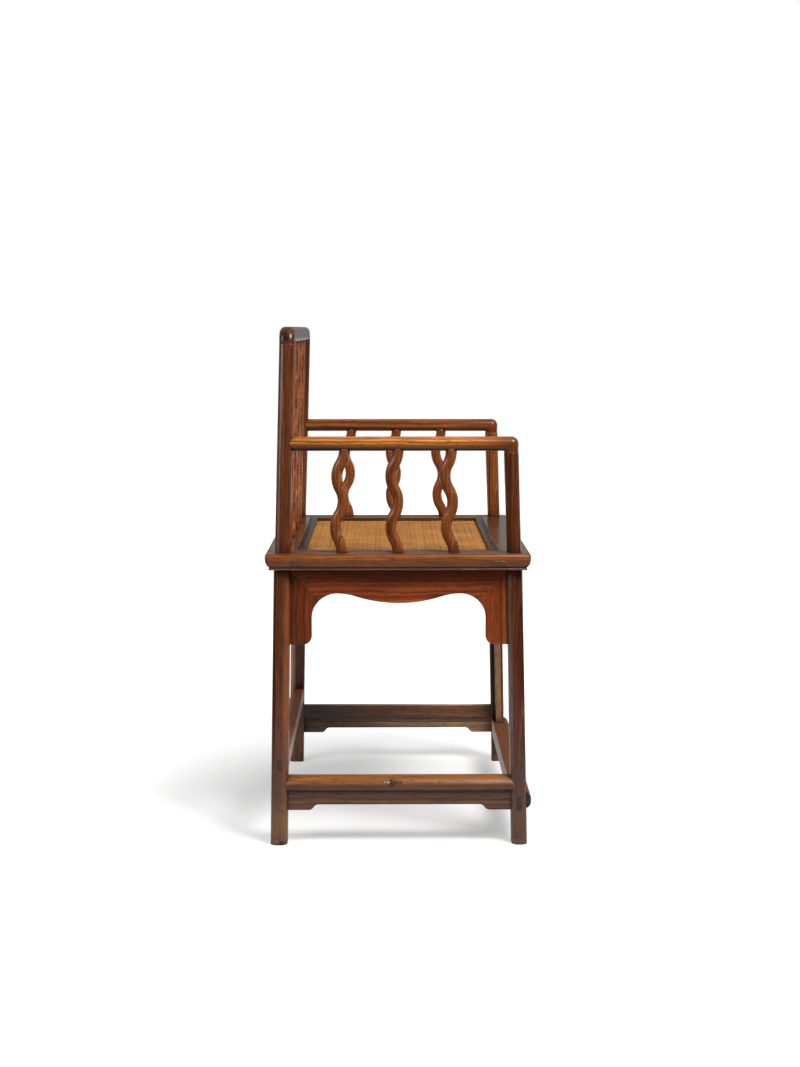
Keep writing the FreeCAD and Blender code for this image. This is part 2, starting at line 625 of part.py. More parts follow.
def strip(which, holes):
    """One strip, mitred at both ends."""
    sign = sum(RAILS[which])
    body = body_at(f"{which}_strip_bar")
    outer = STRIP_OUTER
    inner = (SIDE_INNER, LONG_INNER)
    if which in ("front", "rear"):
        points = [(f"{way} * {reach[0]}", f"{sign} * {reach[1]}")
                  for way, reach in ((-1, outer), (1, outer), (1, inner), (-1, inner))]
    else:
        points = [(f"{sign} * {reach[0]}", f"{way} * {reach[1]}")
                  for way, reach in ((-1, outer), (1, outer), (1, inner), (-1, inner))]
    sketch = draw(sketch_on(body, f"{which}_strip_plan", "XY_Plane", "seat_height - strip_thick / 2"), points)
    pad(body, sketch, "strip_thick")
    return finish(cut(f"{which}_strip_piece", body, holes), f"seat_strip_{which}")


def plate(name, reach, top, thick):
    """A flat sheet, centred on the seat."""
    spans = [(f"-1 * {half}", half) for half in reach]
    return box(name, *spans, (f"{top} - {thick}", top))


pins = []
pin_holes = []
for which in RAILS:
    holes = strip_pins(which, "fit_gap")
    strip(which, holes)
    rail_tools[which] += holes
    pin_holes += holes
    pins += strip_pins(which, "0")
pin_group = doc.addObject("Part::Compound", "strip_pin_group")
pin_group.Links = pins
finish(pin_group, "strip_pins")

mat = plate("mat_sheet", STRIP_OUTER, "seat_height - strip_thick", "mat_thick")
finish(cut("mat_piece", mat, pin_holes), "cane_mat")
web_reach = (f"({SIDE_INNER} + web_ledge - fit_gap)", f"({LONG_INNER} + web_ledge - fit_gap)")
finish(plate("web_sheet", web_reach, f"seat_height - {LEDGE_DEPTH}", "web_thick"), "palm_webbing")



def seat_corner(out_x, out_y):
    """What is rounded off one corner of the seat frame."""
    name = f"seat_corner_{'rear' if out_y > 0 else 'front'}_{'left' if out_x > 0 else 'right'}"
    spans = [sorted((f"{way} * ({half} - seat_corner)", f"{way} * ({half} + seat_corner)"), key=value)
             for way, half in ((out_x, "seat_width / 2"), (out_y, "seat_depth / 2"))]
    block = box(f"{name}_block", *spans, (f"{SEAT_UNDER} - seat_thick", "seat_height + seat_thick"))
    centre = (f"{out_x} * (seat_width / 2 - seat_corner)", f"{out_y} * (seat_depth / 2 - seat_corner)", "seat_height")
    return cut(name, block, [rod(f"{name}_round", *centre, "2 * seat_corner", "-3 * seat_thick", "2 * seat_thick")])


rounded = {(x, y): seat_corner(x, y) for x in (-1, 1) for y in (-1, 1)}
blanks = {which: rail_blank(which) for which in RAILS}
for which, (out_x, out_y) in RAILS.items():
    corner_signs = [(out_x or end, out_y or end) for end in (-1, 1)]
    posts = [cores["rear" if y > 0 else "front", "left" if x > 0 else "right"] for x, y in corner_signs]
    corners = [rounded[place] for place in corner_signs]
    if which in ("front", "rear"):
        body = cut(f"{which}_rail_cut", blanks[which], posts + rail_tools[which] + corners)
        tenons = []
        for x, y in corner_signs:
            side = "left" if x > 0 else "right"
            piece = doc.addObject("Part::MultiCommon", f"{which}_tenon_{side}")
            piece.Shapes = [frame_tenon(f"{which}_tenon_block_{side}", x, y, "0"), blanks[side]]
            tenons.append(piece)
        finish(fuse(f"{which}_rail_piece", [body] + tenons), f"seat_rail_{which}")
    else:
        mortises = [frame_tenon(f"{which}_mortise_{'rear' if y > 0 else 'front'}", x, y, "fit_gap")
                    for x, y in corner_signs]
        finish(cut(f"{which}_rail_piece", blanks[which], posts + rail_tools[which] + mortises + corners),
               f"seat_rail_{which}")


# Aprons: under each seat rail, a board with a waved lower edge, mitred to an ear at each leg. The ears'
# outer edges stand in grooves in the legs. The front ears are long and reach down to the footrest.

PEAK = "({span} - ear_width - apron_arch)"


def apron_frame(name, which):
    """A body whose origin is under the middle of a seat rail, leaning with the legs' splay."""
    sign = sum(RAILS[which])
    if which in ("front", "rear"):
        lean = f"{sign} * atan({which}_splay / {SEAT_UNDER})"
        return body_at(name, "0", f"{sign} * {SEAT_Y[which]}", SEAT_UNDER, (1, 0, 0), lean)
    lean = f"{-sign} * atan(side_splay / {SEAT_UNDER})"
    middle = f"({SEAT_Y['rear']} - rear_leg / 2 - {SEAT_Y['front']} + front_leg / 2) / 2"
    return body_at(name, f"{sign} * {POST_X}", middle, SEAT_UNDER, (0, 1, 0), lean)


def apron_span(which):
    """Half the width between the legs that an apron stands between, under the seat frame."""
    if which in ("front", "rear"):
        return f"({POST_X} - {which}_leg / 2)"
    return f"(({SEAT_Y['rear']} - rear_leg / 2 + {SEAT_Y['front']} - front_leg / 2) / 2)"


def apron_plane(which):
    """The plane that an apron's outline is drawn on."""
    return "XZ_Plane" if which in ("front", "rear") else "YZ_Plane"


def arch_mitre(span):
    """Where the mitre between an apron and its ear meets the arch."""
    peak = PEAK.format(span=span)
    return f"({peak} + apron_arch * cos(45))", "(apron_arch * sin(45) - apron_peak - apron_arch)"


def apron_board(which):
    """The board along the seat rail; its wave turns from hollow to swelling on the line from peak to middle."""
    span = apron_span(which)
    peak = PEAK.format(span=span)
    mitre = arch_mitre(span)
    tip = f"({span} + ear_tongue)"
    fall = "(apron_mid - apron_peak)"
    both_rounds = f"({peak} ^ 2 + {fall} ^ 2) / (2 * {fall})"
    hollow = f"({WAVE_TURN} - 1) * {both_rounds}"
    turn = (f"{WAVE_TURN} * {peak}", f"{WAVE_TURN} * {fall} - apron_mid")
    body = apron_frame(f"{which}_apron_board", which)
    outline = (
        (tip, "-fit_gap"), (f"-{tip}", "-fit_gap"), (f"-{tip}", "-mitre_lip"),
        (f"-{mitre[0]}", mitre[1], "-apron_arch"),
        (f"-{peak}", "-apron_peak", hollow),
        (f"-{turn[0]}", turn[1], f"{WAVE_TURN} * {both_rounds}"),
        turn + (hollow,),
        (peak, "-apron_peak", "-apron_arch"),
        mitre, (tip, "-mitre_lip"),
    )
    sketch = draw(sketch_on(body, f"{which}_apron_outline", apron_plane(which)), outline)
    return finish(pad(body, sketch, "apron_thick"), f"apron_{which}")


def apron_ear(which, end, sign):
    """One ear, and the groove that it needs in its leg; sign tells which end of the apron it is at."""
    span = apron_span(which)
    mitre = arch_mitre(span)
    long_ear = which == "front"
    length = f"({SEAT_UNDER} - footrest_top - fit_gap)" if long_ear else "ear_length"
    leg_end = which if which in ("front", "rear") else end
    splay = "side_splay" if which in ("front", "rear") else f"{end}_splay"
    spread = f"({splay} * {length} / {SEAT_UNDER})"
    inner = f"({span} - ear_width)"
    foot = [(f"{inner} + {spread}", f"-{length}")] if long_ear else [
        (inner, f"ear_corner - {length}", "ear_corner"), (f"{inner} + ear_corner", f"-{length}")]
    outline = [(f"{span} + ear_tongue", "-mitre_lip"), mitre, (inner, "-apron_peak - apron_arch")]
    outline[1] += ("-apron_arch",)
    outline += foot + [(f"{span} + ear_tongue + {spread}", f"-{length}")]
    groove = (
        (f"{span} - ear_tongue", "0"), (f"{span} - ear_tongue", f"-{length} - fit_gap"),
        (f"{span} + ear_tongue + {spread} + fit_gap", f"-{length} - fit_gap"),
        (f"{span} + ear_tongue + fit_gap", "0"),
    )
    pieces = []
    for name, points, thick in (
        (f"{which}_ear_{end}", outline, "apron_thick"),
        (f"{which}_groove_{end}", groove, "apron_thick + 2 * fit_gap"),
    ):
        body = apron_frame(name, which)
        turned = [(f"{sign} * ({point[0]})", point[1]) + tuple(f"{sign} * ({radius})" for radius in point[2:])
                  for point in points]
        pieces.append(pad(body, draw(sketch_on(body, f"{name}_outline", apron_plane(which)), turned), thick))
    finish(pieces[0], f"apron_{which}_ear_{end}")
    leg = (leg_end, end if which in ("front", "rear") else which)
    leg_tools[leg].append(pieces[1])


for which in RAILS:
    apron_board(which)
    ears = SIDES if which in ("front", "rear") else ENDS
    for end, sign in ears.items():
        apron_ear(which, end, sign)


# Stretchers: bars with a swelling outer face, at rising heights, coped round the legs, each with a
# tenon that goes through the leg and shows on its far side.

def rung_section(sketch, sign, middle, low, leg):
    """Section of a stretcher; its outer face is widest a little above the underside."""
    inner = f"({leg} / 2 - rung_setback)"
    across = f"(rung_outer + {inner} - rung_flat)"
    rise = "(rung_height - rung_ridge)"
    outline = (
        (f"-{inner}", "0"),
        ("rung_outer - rung_ridge", "0", f"{sign} * rung_ridge"),
        ("rung_outer", "rung_ridge", f"{sign} * ({across} ^ 2 + {rise} ^ 2) / (2 * {across})"),
        (f"rung_flat - {inner}", "rung_height"),
        (f"-{inner}", "rung_height"),
    )
    return draw(sketch, [(f"{middle} + {sign} * ({point[0]})", f"{low} + {point[1]}") + point[2:]
                         for point in outline])


def tenon_spans(sign, place, leg):
    """Along a bar: where its tenon runs in a leg, and where the mortise for it runs right through."""
    root = f"{sign} * ({place} - {leg})"
    tenon = sorted((root, f"{sign} * ({place} + {leg} / 2 - fit_gap)"), key=value)
    mortise = sorted((root, f"{sign} * ({place} + {leg})"), key=value)
    return tenon, mortise


def side_rung(side):
    """A side stretcher, from front leg to rear leg."""
    sign = SIDES[side]
    middle = f"{sign} * {leg_x(f'{SIDE_RUNG_LOW} + rung_ridge')}"
    low = f"{SIDE_RUNG_LOW} + rung_tenon_low"
    places = {end: leg_y(end, f"({low} + rung_tenon_height / 2)") for end in ENDS}
    body = body_at(f"side_rung_{side}", y=f"({places['rear']} - {places['front']}) / 2")
    section = sketch_on(body, f"side_rung_{side}_section", "XZ_Plane")
    rung_section(section, sign, middle, SIDE_RUNG_LOW, "min(front_leg; rear_leg)")
    pad(body, section, f"{places['rear']} + {places['front']}")
    pieces = [cut(f"side_rung_{side}_coped", body, [cores[end, side] for end in ENDS])]
    across = (f"{middle} - rung_tenon_width / 2", f"{middle} + rung_tenon_width / 2")
    deep = (low, f"{low} + rung_tenon_height")
    for end, way in ENDS.items():
        tenon, mortise = tenon_spans(way, places[end], f"{end}_leg")
        pieces.append(box(f"side_tenon_{side}_{end}", across, tenon, deep))
        leg_tools[end, side].append(box(f"side_mortise_{side}_{end}", across, mortise, deep, "fit_gap"))
    finish(fuse(f"side_rung_{side}_piece", pieces), f"stretcher_{side}")


def cross_tenons(name, end, along, deep):
    """Tenons at both ends of a bar that runs from side to side, with their mortises in the legs."""
    pieces = []
    place = leg_x(f"({deep[0]} + {deep[1]}) / 2")
    for side, sign in SIDES.items():
        tenon, mortise = tenon_spans(sign, place, f"{end}_leg")
        pieces.append(box(f"{name}_tenon_{side}", tenon, along, deep))
        leg_tools[end, side].append(box(f"{name}_mortise_{side}", mortise, along, deep, "fit_gap"))
    return pieces


def both_cores(end):
    """Room round the two front or the two rear legs."""
    return [cores[end, side] for side in SIDES]


def rear_rung():
    """The rear stretcher."""
    middle = leg_y("rear", f"{REAR_RUNG_LOW} + rung_ridge")
    body = body_at("rear_rung")
    section = sketch_on(body, "rear_rung_section", "YZ_Plane")
    rung_section(section, ENDS["rear"], middle, REAR_RUNG_LOW, "rear_leg")
    pad(body, section, f"2 * {leg_x(REAR_RUNG_LOW)}")
    along = (f"{middle} - rung_tenon_width / 2", f"{middle} + rung_tenon_width / 2")
    low = f"{REAR_RUNG_LOW} + rung_tenon_low"
    tenons = cross_tenons("rear_rung", "rear", along, (low, f"{low} + rung_tenon_height"))
    coped = cut("rear_rung_coped", body, both_cores("rear"))
    finish(fuse("rear_rung_piece", [coped] + tenons), "stretcher_rear")


# Footrest: a deeper bar low down between the front legs; its rounded nose stands in front of them.

def footrest_bar(name, back, length):
    """The footrest's section from its nose to a line behind it, along the given length."""
    body = body_at(name)
    nose = f"-{FOOTREST_FRONT}"
    outline = (
        (f"-({back})", "footrest_top"),
        (f"{nose} + footrest_round", "footrest_top", "footrest_round"),
        (nose, "footrest_top - footrest_round"),
        (nose, f"{FOOTREST_LOW} + footrest_round", "footrest_round"),
        (f"{nose} + footrest_round", FOOTREST_LOW),
        (f"-({back})", FOOTREST_LOW),
    )
    pad(body, draw(sketch_on(body, f"{name}_section", "YZ_Plane"), outline), length)
    return cut(f"{name}_coped", body, both_cores("front"))


def footrest():
    """The footrest: its full section between the legs, and its nose on in front of them."""
    leg = leg_x(FOOTREST_MID)
    axis = leg_y("front", FOOTREST_MID)
    between = f"2 * ({leg} - front_leg / 2 + leg_inner_round)"
    bars = [footrest_bar("footrest_main", f"{FOOTREST_FRONT} - footrest_depth", between),
            footrest_bar("footrest_nose", axis, f"2 * {leg}")]
    along = (f"-{axis} - rung_tenon_width / 2", f"-{axis} + rung_tenon_width / 2")
    low = f"{FOOTREST_LOW} + footrest_tenon_low"
    tenons = cross_tenons("footrest", "front", along, (low, f"{low} + footrest_tenon_height"))
    finish(fuse("footrest_piece", bars + tenons), "footrest")


# Aprons under the footrest and the side stretchers: boards that step down towards their ends.

def skirt(body, plane, span, reach, mid, end):
    """A board under a bar; span is half the width between the legs, reach goes on into the legs."""
    flat = f"({span} - skirt_flat)"
    step = f"({flat} - skirt_step)"
    fall = f"({end} - {mid})"
    turn = f"(skirt_step ^ 2 + {fall} ^ 2) / (4 * {fall})"
    between = (f"({flat} - skirt_step / 2)", f"-({mid} + {end}) / 2")
    outline = (
        (reach, "0"), (f"-{reach}", "0"), (f"-{reach}", f"-{end}"),
        (f"-{flat}", f"-{end}", turn), (f"-{between[0]}", between[1], f"-1 * {turn}"),
        (f"-{step}", f"-{mid}"), (step, f"-{mid}", f"-1 * {turn}"),
        (between[0], between[1], turn), (flat, f"-{end}"), (reach, f"-{end}"),
    )
    return pad(body, draw(sketch_on(body, f"{body.Name}_outline", plane), outline), "skirt_thick")


def side_skirt(side):
    """The apron under a side stretcher."""
    height = f"({SIDE_RUNG_LOW} - skirt_mid)"
    rear, front = (leg_y(end, height) for end in ENDS)
    place = (f"{SIDES[side]} * {leg_x(height)}", f"({rear} - {front}) / 2", SIDE_RUNG_LOW)
    body = body_at(f"side_skirt_{side}", *place)
    reach = f"(({rear} + {front}) / 2)"
    span = f"({reach} - (rear_leg + front_leg) / 4)"
    skirt(body, "YZ_Plane", span, reach, "skirt_mid", "skirt_end")
    piece = cut(f"side_skirt_{side}_coped", body, [cores[end, side] for end in ENDS])
    finish(piece, f"stretcher_apron_{side}")


def foot_skirt():
    """The apron under the footrest."""
    height = f"({FOOTREST_LOW} - foot_skirt_mid)"
    reach = leg_x(height)
    body = body_at("foot_skirt", "0", f"-{leg_y('front', height)}", FOOTREST_LOW)
    skirt(body, "XZ_Plane", f"({reach} - front_leg / 2)", reach, "foot_skirt_mid", "foot_skirt_end")
    finish(cut("foot_skirt_coped", body, both_cores("front")), "footrest_apron")


rear_rung()
footrest()
foot_skirt()
for side in SIDES:
    side_rung(side)
    side_skirt(side)

# The legs come last, with a mortise or groove for all that stands in them.

for end, side in LEGS:
    blank = leg_blank(f"{end}_leg_{side}_stick", side, end, "0")
    stick = cut(f"{end}_leg_{side}_cut", blank, leg_tools[end, side])
    pin = post_pin(f"{end}_pin_{side}", end, side, "0")
    finish(fuse(f"{end}_leg_{side}_piece", [stick, pin]), f"{end}_leg_{side}")


# Nothing is written unless every object is sound.

doc.recompute()
broken = [item.Name for item in doc.Objects if "Invalid" in item.State or "Error" in item.State]
broken += [piece.Label for piece in finished if piece.Shape.isNull() or not piece.Shape.isValid()]
if broken:
    raise RuntimeError(f"objects that failed: {broken}")
for piece in finished:
    piece.Shape.exportStep(f"parts/{piece.Label}.step")
    print(piece.Label, round(piece.Shape.Volume), len(piece.Shape.Solids))
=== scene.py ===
import math

import bpy
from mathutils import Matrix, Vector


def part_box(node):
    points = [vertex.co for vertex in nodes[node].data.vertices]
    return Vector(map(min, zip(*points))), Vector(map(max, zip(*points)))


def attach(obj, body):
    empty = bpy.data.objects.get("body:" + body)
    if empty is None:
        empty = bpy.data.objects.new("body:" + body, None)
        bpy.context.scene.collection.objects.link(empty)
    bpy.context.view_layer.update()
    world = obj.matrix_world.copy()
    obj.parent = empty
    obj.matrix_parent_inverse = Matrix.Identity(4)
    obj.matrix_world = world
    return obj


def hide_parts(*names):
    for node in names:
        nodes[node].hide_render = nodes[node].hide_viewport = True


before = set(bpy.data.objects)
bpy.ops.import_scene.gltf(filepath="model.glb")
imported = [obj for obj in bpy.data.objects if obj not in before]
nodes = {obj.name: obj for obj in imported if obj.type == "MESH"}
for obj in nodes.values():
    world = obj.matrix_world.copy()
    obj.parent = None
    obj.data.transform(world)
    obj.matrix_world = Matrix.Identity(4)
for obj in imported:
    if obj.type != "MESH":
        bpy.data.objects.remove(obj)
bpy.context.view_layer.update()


# Legs: four sticks of rosewood, each one length from the floor to the top, so the back and arm posts are the
# same wood as the legs. They are planed, rounded on the outside and waxed. Years of use have left them pale
# along the edges and brown and worn at the feet. Painted shade darkens their corners, and below the seat
# their sides carry painted light, painted shade and painted reflections.

def linear(code):
    """An sRGB hex colour as linear red, green, blue and alpha."""
    parts = [int(code[start:start + 2], 16) / 255 for start in (0, 2, 4)]
    return [part / 12.92 if part <= 0.04045 else ((part + 0.055) / 1.055) ** 2.4 for part in parts] + [1.0]


def add(owner, kind, inputs=None, **settings):
    """Adds a node to a material or world, with its settings, its inputs' values and their links.

    Inputs whose names repeat are given by number: 0 to 2 are what a sum takes, and 0, 6 and 7 are a mix's
    share, the colour under it and the colour laid over that. A mix of plain numbers has those two at 2 and 3.
    """
    made = owner.node_tree.nodes.new(kind)
    for name, setting in settings.items():
        setattr(made, name, setting)
    for socket, given in (inputs or {}).items():
        if isinstance(given, bpy.types.NodeSocket):
            owner.node_tree.links.new(given, made.inputs[socket])
        else:
            made.inputs[socket].default_value = given
    return made


def per_metre(length, width):
    """Grains of a length and width in a metre, along the stick and in the two directions across it."""
    return (1 / length, 1 / width, 1 / width)


# Lengths along and widths across the grain, in metres. Real pores and fibres are finer than a tenth of a
# millimetre, so they are drawn 1.6 mm across to show.
FIBRE = (0.045, 0.0016)
PATCH = (0.12, 0.025)
PORE = (0.016, 0.0016)
RAGGED_EDGE = (0.006, 0.006)
RING_DRIFT = 0.009
DRIFT_WIDTH = 0.03
TREE_SPACING = 9.0
RUBBED_WIDTH = 0.0016
WAX_DEPTH = 0.0003
TIP_WANDER = 0.06

# Where the dark, middle and pale streaks lie in the rings' noise, and how broken up that noise is.
STREAK_STOPS = (0.32, 0.50, 0.70)
BROKEN_UP = 0.65

# The share of a turn over which a tint grows full, the share of its height below which soil is full, and how
# much patches, dirt and pores dull the wax.
TINT_SPREAD = 0.76
SOIL_FULL = 0.55
PATCH_DULLS = 0.10
DIRT_DULLS = 0.15
PORE_DULLS = 0.20
WAX_IOR = 1.42
PORE_BROWN = "2a1409"
# The colour of the painted shade in corners, which also stands for old wax.
WAX_AND_PAINTED_SHADE = "1a0d07"


def rosewood(name, along, tones, roughness, figure=(0.25, 0.0035), mottle=(1.5, 0.6), faces=(), below=9.0,
             tip=None, soil=(), knots=(), corners=(0.014, 0.75), edge=("b07c4c", 0.5), ends="4a3324"):
    """Waxed rosewood whose grain runs along one axis of the chair.

    It gives the eye low streaks of brown and amber, short dark pores, darker end grain, painted shade in the
    corners that also stands for dark wax, and edges rubbed pale. tones are the dark, middle and pale streaks,
    figure is how long their waves are and how far apart they lie, and mottle is how strongly fibres and broad
    patches show. faces are directions whose faces get a tint, each with its colour and where the tint starts;
    most are painted light, painted shade or painted reflections, and a few are old wax or wear on tops. below
    is the height under which they are tinted. tip is where along the grain another colour starts and is full.
    soil is layers of dirt with their height and colour, and knots are places with a width and a colour.
    corners is how far the painted corner shade reaches and how dark it is, edge is the colour of worn edges
    and how strong it is, and ends is the end grain.
    """
    wood = bpy.data.materials.new(name)
    wood.use_nodes = True
    wood.node_tree.nodes.clear()
    place = add(wood, "ShaderNodeTexCoord").outputs["Object"]
    axes = add(wood, "ShaderNodeSeparateXYZ", {0: place}).outputs
    normal = add(wood, "ShaderNodeNewGeometry").outputs["Normal"]

    # A place in the stick, first along the grain and then across it. Each stick is another part of the tree.
    order = {"X": "XYZ", "Y": "YZX", "Z": "ZXY"}[along]
    stick = add(wood, "ShaderNodeCombineXYZ", {way: axes[order[way]] for way in (0, 1, 2)}).outputs[0]
    chance = add(wood, "ShaderNodeObjectInfo").outputs["Random"]
    apart = add(wood, "ShaderNodeMath", {0: chance, 1: TREE_SPACING}, operation="MULTIPLY").outputs[0]
    stick = add(wood, "ShaderNodeVectorMath", {0: stick, 1: apart}, operation="ADD").outputs[0]

    # Streaks: uneven year rings a few millimetres apart, cut nearly flat, that drift by 9 mm.
    waves = add(wood, "ShaderNodeVectorMath", {0: stick, 1: per_metre(figure[0], DRIFT_WIDTH)},
                operation="MULTIPLY").outputs[0]
    drift = add(wood, "ShaderNodeTexNoise", {"Vector": waves, "Scale": 1.0, "Detail": 2.0}).outputs
    shove = add(wood, "ShaderNodeVectorMath", {0: drift["Color"], 1: (0.0, RING_DRIFT, RING_DRIFT), 2: stick},
                operation="MULTIPLY_ADD").outputs[0]
    ring = add(wood, "ShaderNodeVectorMath", {0: shove, 1: (0.0, 1.0, 1.0)}, operation="MULTIPLY").outputs[0]
    ring = add(wood, "ShaderNodeVectorMath", {0: ring}, operation="LENGTH").outputs["Value"]
    ring = add(wood, "ShaderNodeMath", {0: ring, 1: 1 / figure[1]}, operation="MULTIPLY").outputs[0]
    streaks = add(wood, "ShaderNodeTexNoise",
                  {"W": ring, "Scale": 1.0, "Detail": 3.0, "Roughness": BROKEN_UP},
                  noise_dimensions="1D").outputs["Fac"]
    ramp = add(wood, "ShaderNodeValToRGB", {"Fac": streaks})
    ramp.color_ramp.elements.new(0.5)
    for stop, at, tone in zip(ramp.color_ramp.elements, STREAK_STOPS, tones):
        stop.position = at
        stop.color = linear(tone)
    colour = ramp.outputs["Color"]

    # Bundles of fibres, and broad lighter and darker patches.
    bundles = add(wood, "ShaderNodeVectorMath", {0: shove, 1: per_metre(*FIBRE)},
                  operation="MULTIPLY").outputs[0]
    fibre = add(wood, "ShaderNodeTexNoise", {"Vector": bundles, "Scale": 1.0, "Detail": 2.0}).outputs["Fac"]
    broad = add(wood, "ShaderNodeVectorMath", {0: stick, 1: per_metre(*PATCH)},
                operation="MULTIPLY").outputs[0]
    patch = add(wood, "ShaderNodeTexNoise", {"Vector": broad, "Scale": 1.0, "Detail": 2.0}).outputs["Fac"]
    shade = add(wood, "ShaderNodeMath", {0: fibre, 1: mottle[0], 2: 1 - sum(mottle) / 2},
                operation="MULTIPLY_ADD").outputs[0]
    shade = add(wood, "ShaderNodeMath", {0: patch, 1: mottle[1], 2: shade},
                operation="MULTIPLY_ADD").outputs[0]

    # Faces that are turned one way get a tint, most of them painted light, painted shade or painted
    # reflections and a few old wax or wear, and the tip of a piece gets another colour.
    low_down = add(wood, "ShaderNodeMapRange",
                   {"Value": axes["Z"], "From Min": below, "From Max": below - 0.01,
                    "To Max": 0.85}).outputs[0]
    for way, tone, begin in faces:
        full = begin + TINT_SPREAD * (1 - begin)
        turned = add(wood, "ShaderNodeVectorMath", {0: normal, 1: way},
                     operation="DOT_PRODUCT").outputs["Value"]
        turned = add(wood, "ShaderNodeMapRange",
                     {"Value": turned, "From Min": begin, "From Max": full}).outputs[0]
        turned = add(wood, "ShaderNodeMath", {0: turned, 1: low_down}, operation="MULTIPLY").outputs[0]
        colour = add(wood, "ShaderNodeMix", {0: turned, 6: colour, 7: linear(tone)},
                     data_type="RGBA").outputs[2]
    if tip:
        begin, full, tone = tip
        far = add(wood, "ShaderNodeMath", {0: drift["Fac"], 1: TIP_WANDER, 2: axes[along]},
                  operation="MULTIPLY_ADD").outputs[0]
        share = add(wood, "ShaderNodeMapRange",
                    {"Value": far, "From Min": begin, "From Max": full, "To Max": 0.9}).outputs[0]
        colour = add(wood, "ShaderNodeMix", {0: share, 6: colour, 7: linear(tone)},
                     data_type="RGBA").outputs[2]
    colour = add(wood, "ShaderNodeVectorMath", {0: colour, "Scale": shade}, operation="SCALE").outputs[0]

    # Soil lies in patches and dulls the wax.
    dull = add(wood, "ShaderNodeMath", {0: patch, 1: PATCH_DULLS, 2: roughness - PATCH_DULLS / 2},
               operation="MULTIPLY_ADD").outputs[0]
    clots = add(wood, "ShaderNodeMath", {0: fibre, 1: 2.2, 2: -0.45}, operation="MULTIPLY_ADD").outputs[0]
    for height, tone in soil:
        dirt = add(wood, "ShaderNodeMapRange",
                   {"Value": axes["Z"], "From Min": height, "From Max": SOIL_FULL * height}).outputs[0]
        dirt = add(wood, "ShaderNodeMath", {0: dirt, 1: clots}, operation="MULTIPLY",
                   use_clamp=True).outputs[0]
        colour = add(wood, "ShaderNodeMix", {0: dirt, 6: colour, 7: linear(tone)},
                     data_type="RGBA").outputs[2]
        dull = add(wood, "ShaderNodeMath", {0: dirt, 1: DIRT_DULLS, 2: dull},
                   operation="MULTIPLY_ADD").outputs[0]

    # Pores are short, dark and dull.
    short = add(wood, "ShaderNodeVectorMath", {0: stick, 1: per_metre(*PORE)},
                operation="MULTIPLY").outputs[0]
    pore = add(wood, "ShaderNodeTexNoise", {"Vector": short, "Scale": 1.0, "Detail": 1.0}).outputs["Fac"]
    pore = add(wood, "ShaderNodeMapRange",
               {"Value": pore, "From Min": 0.58, "From Max": 0.72, "To Max": 0.7}).outputs[0]
    colour = add(wood, "ShaderNodeMix", {0: pore, 6: colour, 7: linear(PORE_BROWN)},
                 data_type="RGBA").outputs[2]
    dull = add(wood, "ShaderNodeMath", {0: pore, 1: PORE_DULLS, 2: dull}, operation="MULTIPLY_ADD").outputs[0]

    # End grain soaks up wax and dirt, so it is darker and greyer.
    axis = tuple(float(letter == along) for letter in "XYZ")
    cut = add(wood, "ShaderNodeVectorMath", {0: normal, 1: axis}, operation="DOT_PRODUCT").outputs["Value"]
    cut = add(wood, "ShaderNodeMath", {0: cut}, operation="ABSOLUTE").outputs[0]
    cut = add(wood, "ShaderNodeMapRange",
              {"Value": cut, "From Min": 0.72, "From Max": 0.97, "To Max": 0.85}).outputs[0]
    colour = add(wood, "ShaderNodeMix", {0: cut, 6: colour, 7: linear(ends)}, data_type="RGBA").outputs[2]

    # A knot or a chip has a ragged edge.
    crumbs = add(wood, "ShaderNodeVectorMath", {0: stick, 1: per_metre(*RAGGED_EDGE)},
                 operation="MULTIPLY").outputs[0]
    ragged = add(wood, "ShaderNodeTexNoise", {"Vector": crumbs, "Scale": 1.0, "Detail": 2.0}).outputs["Color"]
    ragged = add(wood, "ShaderNodeVectorMath", {0: ragged, 1: (0.5, 0.5, 0.5)},
                 operation="SUBTRACT").outputs[0]
    for knot, width, tone in knots:
        spread = add(wood, "ShaderNodeVectorMath", {0: place, 1: knot}, operation="SUBTRACT").outputs[0]
        spread = add(wood, "ShaderNodeVectorMath", {0: ragged, 1: (width, width, width), 2: spread},
                     operation="MULTIPLY_ADD").outputs[0]
        spread = add(wood, "ShaderNodeVectorMath", {0: spread}, operation="LENGTH").outputs["Value"]
        share = add(wood, "ShaderNodeMapRange",
                    {"Value": spread, "From Min": 0.35 * width, "From Max": 0.8 * width,
                     "To Min": 0.9, "To Max": 0.0}).outputs[0]
        colour = add(wood, "ShaderNodeMix", {0: share, 6: colour, 7: linear(tone)},
                     data_type="RGBA").outputs[2]

    # Painted shade darkens the corners close to the joints, and there it also stands for old wax and dust.
    painted_shade = add(wood, "ShaderNodeAmbientOcclusion", {"Distance": corners[0]}, samples=4).outputs["AO"]
    painted_shade = add(wood, "ShaderNodeMapRange",
               {"Value": painted_shade, "From Min": 0.42, "From Max": 0.92,
                "To Min": corners[1], "To Max": 0.0}).outputs[0]
    colour = add(wood, "ShaderNodeMix", {0: painted_shade, 6: colour, 7: linear(WAX_AND_PAINTED_SHADE)}, data_type="RGBA").outputs[2]

    # Hands rub the edges.
    rounded = add(wood, "ShaderNodeBevel", {"Radius": RUBBED_WIDTH}, samples=4).outputs[0]
    bend = add(wood, "ShaderNodeVectorMath", {0: rounded, 1: normal},
               operation="DOT_PRODUCT").outputs["Value"]
    worn = add(wood, "ShaderNodeMapRange",
               {"Value": bend, "From Min": 0.995, "From Max": 0.90, "To Max": edge[1]}).outputs[0]
    worn = add(wood, "ShaderNodeMath", {0: worn, 1: patch}, operation="MULTIPLY").outputs[0]
    colour = add(wood, "ShaderNodeMix", {0: worn, 6: colour, 7: linear(edge[0])}, data_type="RGBA").outputs[2]

